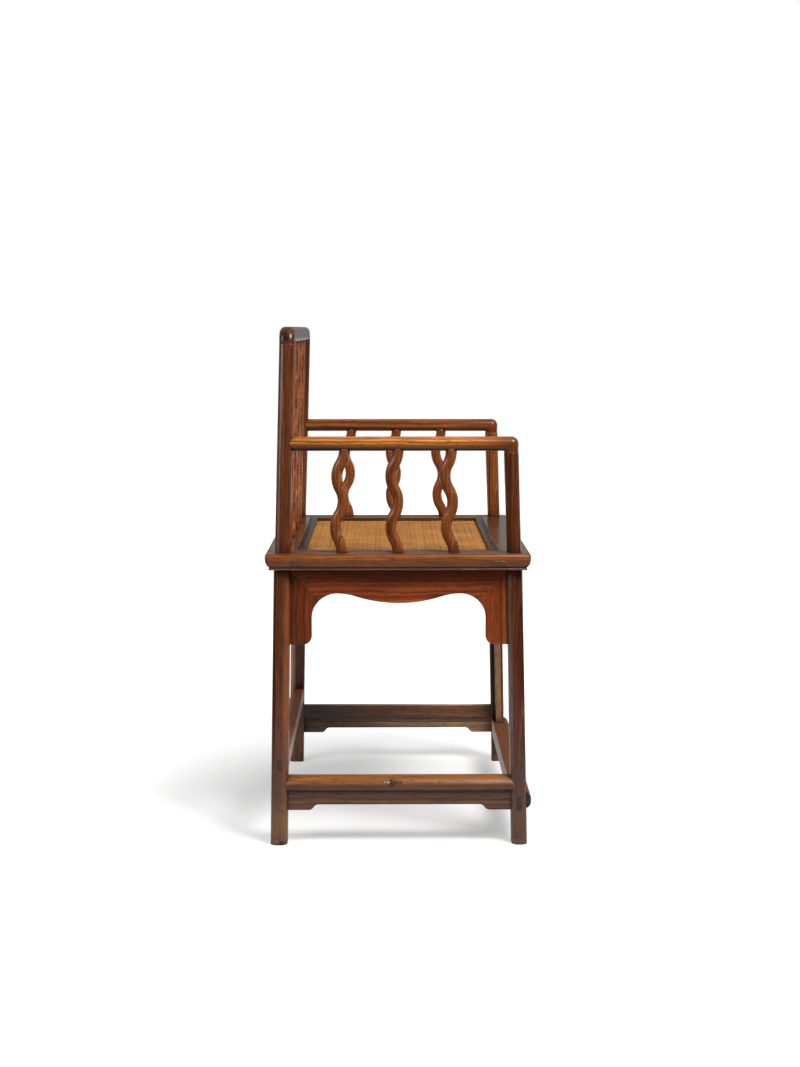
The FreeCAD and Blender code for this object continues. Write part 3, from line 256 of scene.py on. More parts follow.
    relief = add(wood, "ShaderNodeMath", {0: pore, 1: -1.6, 2: fibre}, operation="MULTIPLY_ADD").outputs[0]
    bump = add(wood, "ShaderNodeBump", {"Strength": 0.25, "Distance": WAX_DEPTH, "Height": relief,
                                        "Normal": rounded}).outputs[0]
    skin = add(wood, "ShaderNodeBsdfPrincipled", {"Base Color": colour, "Roughness": dull, "IOR": WAX_IOR,
                                                  "Normal": bump}).outputs[0]
    add(wood, "ShaderNodeOutputMaterial", {"Surface": skin})
    return wood


def dress(names, finish, round_off=0.0007):
    """Gives CAD nodes a finish and takes the sharpness off their edges, as a scraper does."""
    for name in names:
        piece = nodes[name]
        piece.material_slots[0].material = finish
        weld = piece.modifiers.new("one_skin", "WELD")
        weld.merge_threshold = 0.00001
        ease = piece.modifiers.new("eased_edges", "BEVEL")
        ease.width = round_off
        ease.segments = 2
        ease.limit_method = "ANGLE"
        ease.angle_limit = math.radians(32)


REAR_LEG_TONES = ("4a230f", "633319", "794626")
RIGHT_FRONT_TONES = ("3f1b0a", "572a13", "70401f")
LEFT_FRONT_TONES = ("4d2009", "7e421d", "a86732")
LEG_ROUGHNESS = 0.30
# Painted shade reaches further from the legs' joints, as under the seat and beside the aprons.
LEG_CORNER_SHADE = (0.028, 0.85)
UNDER_SEAT = 0.463
SOILED_REAR_LEG = (0.22, "4e382e")
SOILED_FRONT_LEG = (0.22, "4a362b")
BROWN_FOOT = (0.085, "7d5734")
DARK_FOOT = (0.085, "5e4024")
WORN_RIM = (0.012, "866d55")
CRACK = ((-0.2732, 0.197, 0.002), 0.009, "0b0604")
# Painted light on the near rear leg's corner turned to the camera and the front, painted shade on its back
# and on the far legs' inner faces, and painted pale and grey reflections on the corners turned to the camera
# and the back of the far rear leg and the near front leg.
PAINTED_LIT_CORNER = ((-0.7, -0.7, 0), "8a4e26", 0.80)
PAINTED_SHADE_REAR = ((0, 1, 0), "33190c", 0.40)
PAINTED_SHADE_INSIDE = ((-1, 0, 0), "4c2a19", 0.80)
PAINTED_PALE_REFLECTION = ((-0.5, 0.85, 0), "b98c74", 0.52)
PAINTED_GREY_REFLECTION = ((-0.5, 0.85, 0), "7d655a", 0.80)
PAINTED_DARK_SHADE_INSIDE = ((-1, 0, 0), "2c1f18", 0.60)
right_rear_wood = rosewood(
    "waxed_rosewood_right_rear_leg", "Z", REAR_LEG_TONES, roughness=LEG_ROUGHNESS, below=UNDER_SEAT,
    faces=(PAINTED_LIT_CORNER, PAINTED_SHADE_REAR), soil=(SOILED_REAR_LEG, BROWN_FOOT, WORN_RIM), knots=[CRACK],
    corners=LEG_CORNER_SHADE)
left_rear_wood = rosewood(
    "waxed_rosewood_left_rear_leg", "Z", REAR_LEG_TONES, roughness=LEG_ROUGHNESS, below=UNDER_SEAT,
    faces=(PAINTED_SHADE_INSIDE, PAINTED_PALE_REFLECTION), soil=(BROWN_FOOT, WORN_RIM), corners=LEG_CORNER_SHADE)
right_front_wood = rosewood(
    "waxed_rosewood_right_front_leg", "Z", RIGHT_FRONT_TONES, roughness=LEG_ROUGHNESS, below=UNDER_SEAT,
    faces=[PAINTED_GREY_REFLECTION], soil=(SOILED_FRONT_LEG, DARK_FOOT, WORN_RIM), corners=LEG_CORNER_SHADE)
left_front_wood = rosewood(
    "waxed_rosewood_left_front_leg", "Z", LEFT_FRONT_TONES, roughness=LEG_ROUGHNESS, below=UNDER_SEAT,
    faces=[PAINTED_DARK_SHADE_INSIDE], soil=(DARK_FOOT, WORN_RIM), corners=LEG_CORNER_SHADE)
dress(("rear_leg_right",), right_rear_wood)
dress(("rear_leg_left",), left_rear_wood)
dress(("front_leg_right",), right_front_wood)
dress(("front_leg_left",), left_front_wood)


# Stretchers: bars of the same rosewood with a swelling outer face, tenoned through the legs. Feet and brooms
# have worn them dull. Painted light makes them golden on top, and painted shade greyed as a painted floor
# reflection makes them grey below. The right one has a knot and small chips, their pale spots partly painted
# highlights, the left one has a painted pale reflection on its top, and the rear one's front face has a
# painted pale reflection.

STRETCHER_TONES = ("45291a", "613c25", "7d5233")
STRETCHER_EDGE = ("b07c4c", 0.9)
# Below, painted shade greyed as a painted floor reflection; on top, painted light; on the left stretcher's
# top and the rear one's front, painted pale reflections.
PAINTED_SHADE_UNDER = ((0, 0, -1), "40302a", 0.0)
PAINTED_LIGHT_GOLDEN_TOP = ((0, 0, 1), "8d5419", 0.15)
PAINTED_LIGHT_ORANGE_TOP = ((0, 0, 1), "94500f", 0.15)
PAINTED_REFLECTION_TOP = ((0, 0, 1), "dcc6b4", 0.60)
PAINTED_REFLECTION_FRONT = ((0, -1, 0), "b3a698", 0.60)
KNOT = "241006"
CRACK_BROWN = "4a2810"
PALE_CHIP_AND_GLINT = "c9b59a"
DARK_REAR_END = (0.03, 0.20, "2e2422")

# Marks on the right stretcher's swelling face: their place along it, width and colour. The dark ones are
# knots and a crack; the two pale ones are chips, partly painted highlights.
rail_low, rail_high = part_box("stretcher_right")
rail_marks = ((0.014, 0.011, KNOT), (0.006, 0.006, KNOT), (-0.002, 0.005, KNOT), (-0.066, 0.004, CRACK_BROWN),
              (0.0185, 0.0035, PALE_CHIP_AND_GLINT), (0.024, 0.0025, PALE_CHIP_AND_GLINT))
rail_knots = [((rail_low[0] + 0.003, along, rail_high[2] - 0.008), width, tone)
              for along, width, tone in rail_marks]

rear_stretcher_wood = rosewood(
    "waxed_rosewood_rear_stretcher", "X", STRETCHER_TONES, roughness=0.60, edge=STRETCHER_EDGE,
    faces=(PAINTED_REFLECTION_FRONT, PAINTED_LIGHT_ORANGE_TOP, PAINTED_SHADE_UNDER), ends="33241d")
right_stretcher_wood = rosewood(
    "waxed_rosewood_right_stretcher", "Y", STRETCHER_TONES, roughness=0.46, edge=STRETCHER_EDGE,
    faces=(PAINTED_LIGHT_GOLDEN_TOP, PAINTED_SHADE_UNDER), knots=rail_knots)
left_stretcher_wood = rosewood(
    "waxed_rosewood_left_stretcher", "Y", STRETCHER_TONES, roughness=0.34, edge=STRETCHER_EDGE,
    faces=(PAINTED_REFLECTION_TOP, PAINTED_SHADE_UNDER), tip=DARK_REAR_END)
dress(("stretcher_rear",), rear_stretcher_wood)
dress(("stretcher_right",), right_stretcher_wood)
dress(("stretcher_left",), left_stretcher_wood)


# Footrest: a thicker rosewood bar with a rounded nose, tenoned through the front legs. Shoes have worn its
# top brown and dull and its edges pale, its back carries a painted pale reflection of the floor, painted
# shade greys its underside, and a knot shows at one end.

BROWN_REST_TOP = ((0, 0, 1), "66360d", 0.15)
PAINTED_FLOOR_REFLECTION_BACK = ((0, 1, 0), "b9aea4", 0.40)
rest_low, rest_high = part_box("footrest")
rest_knot = ((rest_high[0] - 0.05, rest_low[1] + 0.02, rest_high[2]), 0.009, "2f180b")
footrest_wood = rosewood(
    "waxed_rosewood_footrest", "X", STRETCHER_TONES, roughness=0.60, edge=STRETCHER_EDGE,
    faces=(PAINTED_FLOOR_REFLECTION_BACK, BROWN_REST_TOP, PAINTED_SHADE_UNDER), knots=[rest_knot], ends="29211e")
dress(("footrest",), footrest_wood)


# Low aprons: thin rosewood boards under the side stretchers and the footrest, cut away between two steps.
# Nobody polishes them, so they are dry, grey-brown and dull; the left one is painted paler, as painted light.

LOW_APRON_TONES = ("412819", "563623", "6e4b33")
PAINTED_LIGHT_APRON_TONES = ("694d34", "87674b", "a07e5e")
BROWN_REAR_END = (0.03, 0.20, "46341f")
low_apron_x = rosewood("dry_rosewood_footrest_apron", "X", LOW_APRON_TONES, roughness=0.45)
right_apron_y = rosewood("dry_rosewood_right_stretcher_apron", "Y", LOW_APRON_TONES, roughness=0.45)
left_apron_y = rosewood("dry_rosewood_left_stretcher_apron", "Y", PAINTED_LIGHT_APRON_TONES, roughness=0.50,
                        tip=BROWN_REAR_END)
dress(("footrest_apron",), low_apron_x)
dress(("stretcher_apron_right",), right_apron_y)
dress(("stretcher_apron_left",), left_apron_y)


# Aprons: thin rosewood boards under the seat with a sawn wave, mitred to an ear that stands in a groove of
# each leg. The boards' grain runs along the rail and the ears' grain runs down the leg. Painted shade, the
# seat's shadow, lies dark under the seat's edge, and painted light brightens the side edges of the long ears.

APRON_TONES = ("722d12", "8b3f1b", "a35328")
REAR_EAR_TONES = ("542208", "6b2f11", "80411c")
FRONT_EAR_TONES = ("682c0d", "823c18", "9a5026")
WISPS = (0.06, 0.0055)
CLOUDS = (0.9, 1.3)
SEAT_SHADE = (0.042, 0.97)
MITRE = ("1f0d06", 0.9)
PAINTED_LIGHT_EAR_EDGES = (((-1, 0, 0), "8a6747", 0.15), ((1, 0, 0), "8a6747", 0.15))
board_x = rosewood(
    "waxed_rosewood_long_aprons", "X", APRON_TONES, roughness=0.32, figure=WISPS, mottle=CLOUDS,
    corners=SEAT_SHADE, edge=MITRE)
board_y = rosewood(
    "waxed_rosewood_side_aprons", "Y", APRON_TONES, roughness=0.32, figure=WISPS, mottle=CLOUDS,
    corners=SEAT_SHADE, edge=MITRE)
rear_ear_wood = rosewood(
    "waxed_rosewood_rear_ears", "Z", REAR_EAR_TONES, roughness=0.32, figure=WISPS, mottle=CLOUDS,
    corners=SEAT_SHADE, edge=MITRE)
front_ear_wood = rosewood(
    "waxed_rosewood_front_ears", "Z", FRONT_EAR_TONES, roughness=0.32, figure=WISPS, mottle=CLOUDS,
    corners=SEAT_SHADE, edge=MITRE)
long_ear_wood = rosewood("waxed_rosewood_long_ears", "Z", REAR_EAR_TONES, roughness=0.36,
                         faces=PAINTED_LIGHT_EAR_EDGES)
dress(("apron_front", "apron_rear"), board_x)
dress(("apron_right", "apron_left"), board_y)
dress(("apron_right_ear_rear", "apron_left_ear_rear"), rear_ear_wood)
dress(("apron_rear_ear_right", "apron_rear_ear_left"), rear_ear_wood)
dress(("apron_right_ear_front", "apron_left_ear_front"), front_ear_wood)
dress(("apron_front_ear_right", "apron_front_ear_left"), long_ear_wood)


# Seat frame: four wide rosewood rails with a moulded edge, mitred at the corners. Old wax has darkened the
# tops, most of all in front, and the long rails are polished until they mirror the posts and spindles.
# Sleeves have rubbed the edges golden, the long rails' tenons show dark on the side rails, and a painted
# reflection of the floor greys the undersides of the edges.

SEAT_TONES = ("723309", "904b18", "ab672a")
PAINTED_FLOOR_REFLECTION_UNDER = ((0, 0, -1), "74492d", 0.15)
BROWN_TOP = ((0, 0, 1), "583319", 0.15)
DARK_TOP = ((0, 0, 1), "3a261a", 0.15)
rear_rail = rosewood("polished_rosewood_rear_rail", "X", SEAT_TONES, roughness=0.20,
                     faces=(BROWN_TOP, PAINTED_FLOOR_REFLECTION_UNDER))
front_rail = rosewood("polished_rosewood_front_rail", "X", SEAT_TONES, roughness=0.20,
                      faces=(DARK_TOP, PAINTED_FLOOR_REFLECTION_UNDER))
rail_y = rosewood("waxed_rosewood_side_rails", "Y", SEAT_TONES, roughness=0.38,
                  faces=(BROWN_TOP, PAINTED_FLOOR_REFLECTION_UNDER))
dress(("seat_rail_rear",), rear_rail)
dress(("seat_rail_front",), front_rail)
dress(("seat_rail_right", "seat_rail_left"), rail_y)


# Braces: two plain bowed rosewood bars under the seat, tenoned into the long rails to keep them apart. They
# are left as the plane cut them, with no wax, and have gone grey-brown.

BARE_TONES = ("4a3423", "6d4f35", "86684a")
brace_wood = rosewood("bare_rosewood_braces", "Y", BARE_TONES, roughness=0.60)
dress(("seat_brace_right", "seat_brace_left"), brace_wood)


# Webbing: palm-fibre cords strung through the rails in two directions and woven over and under each other.
# It carries the mat, has stretched into a shallow hollow, and shows only from below.

SEAT_MIDDLE = sum(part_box("cane_mat")[end][1] for end in (0, 1)) / 2
SEAT_OPENING = (0.226, 0.153)
SEAT_SAG = 0.004
CORD = 0.0026
CORD_PITCH = 0.010
CORD_SIDES = 8
CORD_WAVE = 0.48
CORD_LIFT = 0.0005
CORD_END_LIFT = 0.001
TWIST = 0.028
HAIR = 0.0011
PALM_TONES = ("3d2817", "8a6238")


def sag(x, y):
    """How far the seat has sunk at a place, in metres from the chair's middle line and the seat's middle."""
    return SEAT_SAG * max(0, 1 - (x / SEAT_OPENING[0]) ** 2) * max(0, 1 - (y / SEAT_OPENING[1]) ** 2)


def sheet_piece(name, points, faces, finish):
    """A new smooth-shaded mesh piece with one finish, riding on the chair."""
    mesh = bpy.data.meshes.new(name)
    mesh.from_pydata(points, [], faces)
    mesh.polygons.foreach_set("use_smooth", [True] * len(mesh.polygons))
    mesh.materials.append(finish)
    piece = bpy.data.objects.new(name, mesh)
    bpy.context.scene.collection.objects.link(piece)
    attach(piece, "root")
    return piece


def spaced(half, pitch):
    """Places one pitch apart, even about the middle, that stay within a half width."""
    count = int(2 * half / pitch)
    return [(number - (count - 1) / 2) * pitch for number in range(count)]


# Twisted palm fibre: matt, hairy and brown, with the fibres winding round the cord. The real twist is about
# 7 mm long and the hairs are 0.3 mm apart; both are drawn about four times as coarse, so that they show.
palm = bpy.data.materials.new("twisted_palm_fibre")
palm.use_nodes = True
palm.node_tree.nodes.clear()
spot = add(palm, "ShaderNodeTexCoord").outputs["Object"]
slant = add(palm, "ShaderNodeVectorMath", {0: spot, 1: (1, 1, 1.6)}, operation="MULTIPLY").outputs[0]
twist = add(palm, "ShaderNodeTexWave", {"Vector": slant, "Scale": math.pi / 5 / TWIST, "Distortion": 3.0},
            bands_direction="DIAGONAL").outputs["Fac"]
hairs = add(palm, "ShaderNodeTexNoise", {"Vector": spot, "Scale": 1 / HAIR, "Detail": 3.0}).outputs["Fac"]
blend = add(palm, "ShaderNodeMath", {0: twist, 1: 0.4, 2: hairs}, operation="MULTIPLY_ADD").outputs[0]
tint = add(palm, "ShaderNodeMix", {0: blend, 6: linear(PALM_TONES[0]), 7: linear(PALM_TONES[1])},
           data_type="RGBA").outputs[2]
rough = add(palm, "ShaderNodeBump", {"Strength": 0.6, "Distance": 0.0005, "Height": blend}).outputs[0]
skin = add(palm, "ShaderNodeBsdfPrincipled", {"Base Color": tint, "Roughness": 0.85,
                                              "Normal": rough}).outputs[0]
add(palm, "ShaderNodeOutputMaterial", {"Surface": skin})

low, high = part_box("palm_webbing")
reach = (high[0], (high[1] - low[1]) / 2)
cord_level = low[2] + CORD_LIFT
crossings = [spaced(SEAT_OPENING[axis], CORD_PITCH) for axis in (0, 1)]
points, faces = [], []
for axis in (0, 1):
    for row, across in enumerate(crossings[1 - axis]):
        between = [at + half * CORD_PITCH / 2 for at in crossings[axis] for half in (0, 1)]
        stops = [-reach[axis]] + between[:-1] + [reach[axis]]
        for step, at in enumerate(stops):
            x, y = (at, across) if axis == 0 else (across, at)
            over = 0 if step % 2 == 0 or step == len(stops) - 1 else (-1) ** (row + (step - 1) // 2 + axis)
            level = cord_level - sag(x, y) + over * CORD * CORD_WAVE
            if step in (0, len(stops) - 1):
                level += CORD_END_LIFT
            for side in range(CORD_SIDES):
                turn = 2 * math.pi * side / CORD_SIDES
                out, up = CORD / 2 * math.cos(turn), CORD / 2 * math.sin(turn)
                points.append((x + out * axis, y + SEAT_MIDDLE + out * (1 - axis), level + up))
            first = len(points) - CORD_SIDES
            if step in (0, len(stops) - 1):
                faces.append([first + side for side in range(CORD_SIDES)])
            if step:
                faces += [(first + side, first + (side + 1) % CORD_SIDES,
                           first + (side + 1) % CORD_SIDES - CORD_SIDES, first + side - CORD_SIDES)
                          for side in range(CORD_SIDES)]
webbing = sheet_piece("palm_cord_webbing", points, faces, palm)
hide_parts("palm_webbing")


# Mat: split cane, woven flat over two and under two with the twill turning back in chevrons, and tucked under
# the strips. It is stretched dry and lies on the webbing. Real splits are about 2 mm wide; these are 2.8 mm,
# so that the weave shows.

SPLIT = 0.0028
SPLIT_PITCH = 0.0030
SPLIT_CROWN = 0.00018
SPLIT_CRIMP = 0.00032
CHEVRON = 26
TONE_STEPS = (0.618034, 0.7548777)
TONE_SHARES = (0.6, 0.4)
TONE_TURN = 0.37
STAIN = 0.05
FLECK = 0.003
CANE_TONES = ("6d3e18", "a66c2f", "ca8e43")
CANE_STOPS = (0.36, 0.58, 0.78)
CANE_GAP_SHADE = "2e1a0c"

# Split cane: a hard, slightly shiny golden skin that has browned, each split a little different.
cane = bpy.data.materials.new("woven_split_cane")
cane.use_nodes = True
cane.node_tree.nodes.clear()
spot = add(cane, "ShaderNodeTexCoord").outputs["Object"]
tone = add(cane, "ShaderNodeAttribute", attribute_name="split_tone").outputs["Fac"]
stain = add(cane, "ShaderNodeTexNoise", {"Vector": spot, "Scale": 1 / STAIN, "Detail": 3.0}).outputs["Fac"]
fleck = add(cane, "ShaderNodeTexNoise", {"Vector": spot, "Scale": 1 / FLECK, "Detail": 2.0}).outputs["Fac"]
blend = add(cane, "ShaderNodeMath", {0: tone, 1: 0.30, 2: 0.05}, operation="MULTIPLY_ADD").outputs[0]
blend = add(cane, "ShaderNodeMath", {0: stain, 1: 0.30, 2: blend}, operation="MULTIPLY_ADD").outputs[0]
blend = add(cane, "ShaderNodeMath", {0: fleck, 1: 0.50, 2: blend}, operation="MULTIPLY_ADD").outputs[0]
ramp = add(cane, "ShaderNodeValToRGB", {"Fac": blend})
ramp.color_ramp.elements.new(0.5)
for stop, at, shade in zip(ramp.color_ramp.elements, CANE_STOPS, CANE_TONES):
    stop.position = at
    stop.color = linear(shade)
# Painted shade darkens the gaps and crossings between the splits.
painted_shade = add(cane, "ShaderNodeAmbientOcclusion", {"Distance": 0.002}, samples=4).outputs["AO"]
gap_shade = add(cane, "ShaderNodeMapRange",
           {"Value": painted_shade, "From Min": 0.3, "From Max": 0.8, "To Min": 0.7, "To Max": 0.0}).outputs[0]
tint = add(cane, "ShaderNodeMix", {0: gap_shade, 6: ramp.outputs["Color"], 7: linear(CANE_GAP_SHADE)},
           data_type="RGBA").outputs[2]
rough = add(cane, "ShaderNodeBump", {"Strength": 0.3, "Distance": 0.0002, "Height": fleck}).outputs[0]
skin = add(cane, "ShaderNodeBsdfPrincipled", {"Base Color": tint, "Roughness": 0.62, "IOR": 1.40,
                                              "Normal": rough}).outputs[0]
add(cane, "ShaderNodeOutputMaterial", {"Surface": skin})

low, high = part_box("cane_mat")
reach = (high[0], (high[1] - low[1]) / 2)
mat_level = (low[2] + high[2]) / 2
crossings = [spaced(reach[axis], SPLIT_PITCH) for axis in (0, 1)]
points, faces, tones = [], [], []
for axis in (0, 1):
    for row, across in enumerate(crossings[1 - axis]):
        # Steps of an irrational number give neighbouring splits unlike tones that never repeat.
        even = (row * TONE_STEPS[0] + axis * TONE_TURN) % 1
        uneven = (row * row * TONE_STEPS[1]) % 1
        shade = even * TONE_SHARES[0] + uneven * TONE_SHARES[1]
        for step, at in enumerate(crossings[axis]):
            column, line = (step, row) if axis == 0 else (row, step)
            twill = (abs(column % (2 * CHEVRON) - CHEVRON) + line) % 4 < 2
            over = 1 if twill == (axis == 0) else -1
            for side in (-1, 0, 1):
                edge = across + side * SPLIT / 2
                x, y = (at, edge) if axis == 0 else (edge, at)
                level = mat_level - sag(x, y) + over * SPLIT_CRIMP - abs(side) * SPLIT_CROWN
                points.append((x, y + SEAT_MIDDLE, level))
                tones.append(shade)
            if step:
                last = len(points) - 1
                faces += [(last - side, last - side - 1, last - side - 4, last - side - 3) for side in (0, 1)]
mat = sheet_piece("cane_seat_mat", points, faces, cane)
mat.data.attributes.new("split_tone", "FLOAT", "POINT").data.foreach_set("value", tones)
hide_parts("cane_mat")


# Strips and pins: four thin strips of the seat's rosewood lie over the mat's edges in the rails' rabbet, and
# split-bamboo pins driven through them hold them down. The rear strip is coloured near-black and the front
# one dark.

BLACK_STRIP_TONES = ("2b2624", "37312e", "453d38")
DARK_STRIP_TONES = ("2e201a", "3c2a21", "4d382c")
STRIP_TONES = ("422513", "57331b", "6a4427")
BUNDLE = 0.0005
BAMBOO_TONES = ("4a3018", "8f6a3c")
PIN_ROUND_OFF = 0.0002
rear_strip = rosewood("near_black_rosewood_rear_strip", "X", BLACK_STRIP_TONES, roughness=0.40)
front_strip = rosewood("waxed_rosewood_front_strip", "X", DARK_STRIP_TONES, roughness=0.36)
strip_y = rosewood("waxed_rosewood_side_strips", "Y", STRIP_TONES, roughness=0.36)
dress(("seat_strip_rear",), rear_strip)
dress(("seat_strip_front",), front_strip)
dress(("seat_strip_right", "seat_strip_left"), strip_y)

# Split bamboo, end on: tan, with dark fibre bundles about 0.5 mm apart, dulled by wax.
bamboo = bpy.data.materials.new("split_bamboo_pins")
bamboo.use_nodes = True
bamboo.node_tree.nodes.clear()
spot = add(bamboo, "ShaderNodeTexCoord").outputs["Object"]
bundles = add(bamboo, "ShaderNodeTexVoronoi", {"Vector": spot, "Scale": 1 / BUNDLE}).outputs["Distance"]
tint = add(bamboo, "ShaderNodeMix", {0: bundles, 6: linear(BAMBOO_TONES[0]), 7: linear(BAMBOO_TONES[1])},
           data_type="RGBA").outputs[2]
rough = add(bamboo, "ShaderNodeBump", {"Strength": 0.3, "Distance": 0.0002, "Height": bundles}).outputs[0]
skin = add(bamboo, "ShaderNodeBsdfPrincipled", {"Base Color": tint, "Roughness": 0.5,
                                                "Normal": rough}).outputs[0]
add(bamboo, "ShaderNodeOutputMaterial", {"Surface": skin})
dress(("strip_pins",), bamboo, PIN_ROUND_OFF)


# Spindles: round rosewood sticks sawn in waves and scraped round, four in the back and three under each arm,
# with a round tenon at both ends. Hands seldom reach them, and they keep a bright wax.

SPINDLE_TONES = ("6b3515", "824620", "98582c")
BRIGHT_WAX = 0.26
spindle_wood = rosewood("waxed_rosewood_spindles", "Z", SPINDLE_TONES, roughness=BRIGHT_WAX)
dress([name for name in nodes if "spindle" in name], spindle_wood)


# Arms: round rosewood rails that turn down at the front, in a round elbow, onto the arm post and are coped
# round the back post. Hands have polished them, the right one amber on top; painted shade darkens the
# undersides, and the front ends are red.

RIGHT_ARM_TONES = ("743812", "aa6429", "d28e47")
LEFT_ARM_TONES = ("54250a", "7d431c", "9e602f")
ARM_PAINTED_SHADE_UNDER = (((0, 0, -1), "4a2a17", 0.0),)
ARM_FRONT = (-0.055, -0.165, "6a3013")
ARM_FIGURE = (0.10, 0.006)
ARM_MOTTLE = (1.1, 1.2)
right_arm_wood = rosewood(
    "waxed_rosewood_right_arm", "Y", RIGHT_ARM_TONES, roughness=BRIGHT_WAX, figure=ARM_FIGURE,
    mottle=ARM_MOTTLE, faces=ARM_PAINTED_SHADE_UNDER, tip=ARM_FRONT)
left_arm_wood = rosewood(
    "waxed_rosewood_left_arm", "Y", LEFT_ARM_TONES, roughness=BRIGHT_WAX, figure=ARM_FIGURE,
    mottle=ARM_MOTTLE, faces=ARM_PAINTED_SHADE_UNDER, tip=ARM_FRONT)
dress(("arm_right",), right_arm_wood)
dress(("arm_left",), left_arm_wood)


# Crest rail: a round rosewood rail whose ends turn down over the back posts. It is the darkest wood of the
# chair, polished by hands, with a dark round end above each post, and painted shade darkens its underside.

CREST_TONES = ("3b1f10", "4c2b18", "613b23")
CREST_END = (0.015, "1b100a")
crest_low, crest_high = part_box("crest_rail")
crest_middle = (crest_low[1] + crest_high[1]) / 2
crest_ends = [((end, crest_middle + 0.003, crest_high[2] - 0.016), *CREST_END)
              for end in (crest_low[0], crest_high[0])]
crest_wood = rosewood("waxed_rosewood_crest", "X", CREST_TONES, roughness=BRIGHT_WAX, faces=ARM_PAINTED_SHADE_UNDER,
                      knots=crest_ends, ends="5c3320")
dress(("crest_rail",), crest_wood)


# Floor: a roll of white paper in a dim room, 1.4 m wide, that runs from under the camera to behind the chair
# and spreads into a wide white sweep there. The camera sees it white with the chair's shadow on it, and
# polished wood mirrors it.

FLOOR_RADIUS = 6.0
PAPER_HALF = (0.55, 0.85)
PAPER_END = (-1.9, -1.0)
PAPER_SWEEP = (0.8, 2.0)
PAPER_MIRRORED = 0.45
PAPER_GREY = 0.56
PAPER_GLOW = ((0.25, 0.35), (0.50, 0.74), (1.90, 1.0))
BOUNCE_REACH = (0.40, 1.05)
BOUNCE = (0.75, 0.05)
bpy.ops.mesh.primitive_circle_add(vertices=96, radius=FLOOR_RADIUS, fill_type="NGON", location=(0, 0, 0))
floor = bpy.context.object
floor.name = "floor"

# White paper: matt and without a pattern, so that the eye sees only the chair's soft shadow on it.
paper = bpy.data.materials.new("white_paper_floor")
paper.use_nodes = True
paper.node_tree.nodes.clear()
spot = add(paper, "ShaderNodeTexCoord").outputs["Object"]
axes = add(paper, "ShaderNodeSeparateXYZ", {0: spot}).outputs
path = add(paper, "ShaderNodeLightPath").outputs
away = add(paper, "ShaderNodeVectorMath", {0: spot}, operation="LENGTH").outputs["Value"]

# How bright the paper is for the camera, from under the chair outwards. A ramp ends at 1, so it takes half
# the distance in metres.
halved = add(paper, "ShaderNodeMath", {0: away, 1: 0.5}, operation="MULTIPLY").outputs[0]
glow = add(paper, "ShaderNodeValToRGB", {"Fac": halved})
glow.color_ramp.elements.new(0.5)
for stop, (distance, bright) in zip(glow.color_ramp.elements, PAPER_GLOW):
    stop.position = distance / 2
    stop.color = (bright, bright, bright, 1.0)

# What polished wood mirrors: the roll, and the sweep behind the chair.
aside = add(paper, "ShaderNodeMath", {0: axes["Y"]}, operation="ABSOLUTE").outputs[0]
aside = add(paper, "ShaderNodeMapRange",
            {"Value": aside, "From Min": PAPER_HALF[0], "From Max": PAPER_HALF[1],
             "To Min": PAPER_MIRRORED, "To Max": 0.0}).outputs[0]
along = add(paper, "ShaderNodeMapRange",
            {"Value": axes["X"], "From Min": PAPER_END[0], "From Max": PAPER_END[1]}).outputs[0]
roll = add(paper, "ShaderNodeMath", {0: aside, 1: along}, operation="MULTIPLY").outputs[0]
sweep = add(paper, "ShaderNodeMapRange",
            {"Value": axes["X"], "From Min": PAPER_SWEEP[0], "From Max": PAPER_SWEEP[1]}).outputs[0]
roll = add(paper, "ShaderNodeMath", {0: roll, 1: sweep}, operation="MAXIMUM").outputs[0]

# The light that the paper throws back onto the chair fades outwards.
bounce = add(paper, "ShaderNodeMapRange",
             {"Value": away, "From Min": BOUNCE_REACH[0], "From Max": BOUNCE_REACH[1],
              "To Min": BOUNCE[0], "To Max": BOUNCE[1]},
             interpolation_type="SMOOTHSTEP").outputs[0]
grey = add(paper, "ShaderNodeMix", {0: path["Is Glossy Ray"], 2: bounce, 3: roll}).outputs[0]
grey = add(paper, "ShaderNodeMix", {0: path["Is Camera Ray"], 2: grey, 3: PAPER_GREY}).outputs[0]
matt = add(paper, "ShaderNodeBsdfDiffuse", {"Color": grey}).outputs[0]
seen = add(paper, "ShaderNodeMix", {0: path["Is Glossy Ray"], 2: 0.0, 3: roll}).outputs[0]
seen = add(paper, "ShaderNodeMix", {0: path["Is Camera Ray"], 2: seen, 3: glow.outputs["Color"]}).outputs[0]
white = add(paper, "ShaderNodeEmission", {"Color": linear("ffffff"), "Strength": seen}).outputs[0]
both = add(paper, "ShaderNodeAddShader", {0: matt, 1: white}).outputs[0]

# From below the camera looks through the paper, so that the underside of the seat can be seen.
under = add(paper, "ShaderNodeNewGeometry").outputs["Backfacing"]
under = add(paper, "ShaderNodeMath", {0: under, 1: path["Is Camera Ray"]}, operation="MULTIPLY").outputs[0]
clear = add(paper, "ShaderNodeBsdfTransparent").outputs[0]
both = add(paper, "ShaderNodeMixShader", {0: under, 1: both, 2: clear}).outputs[0]
add(paper, "ShaderNodeOutputMaterial", {"Surface": both})
floor.data.materials.append(paper)


# Studio: a white backdrop behind the chair and a dark room round the camera, a large soft lamp above the
# camera's right hand and a weaker one at its left. Ceiling and backdrop give a little light of their own.

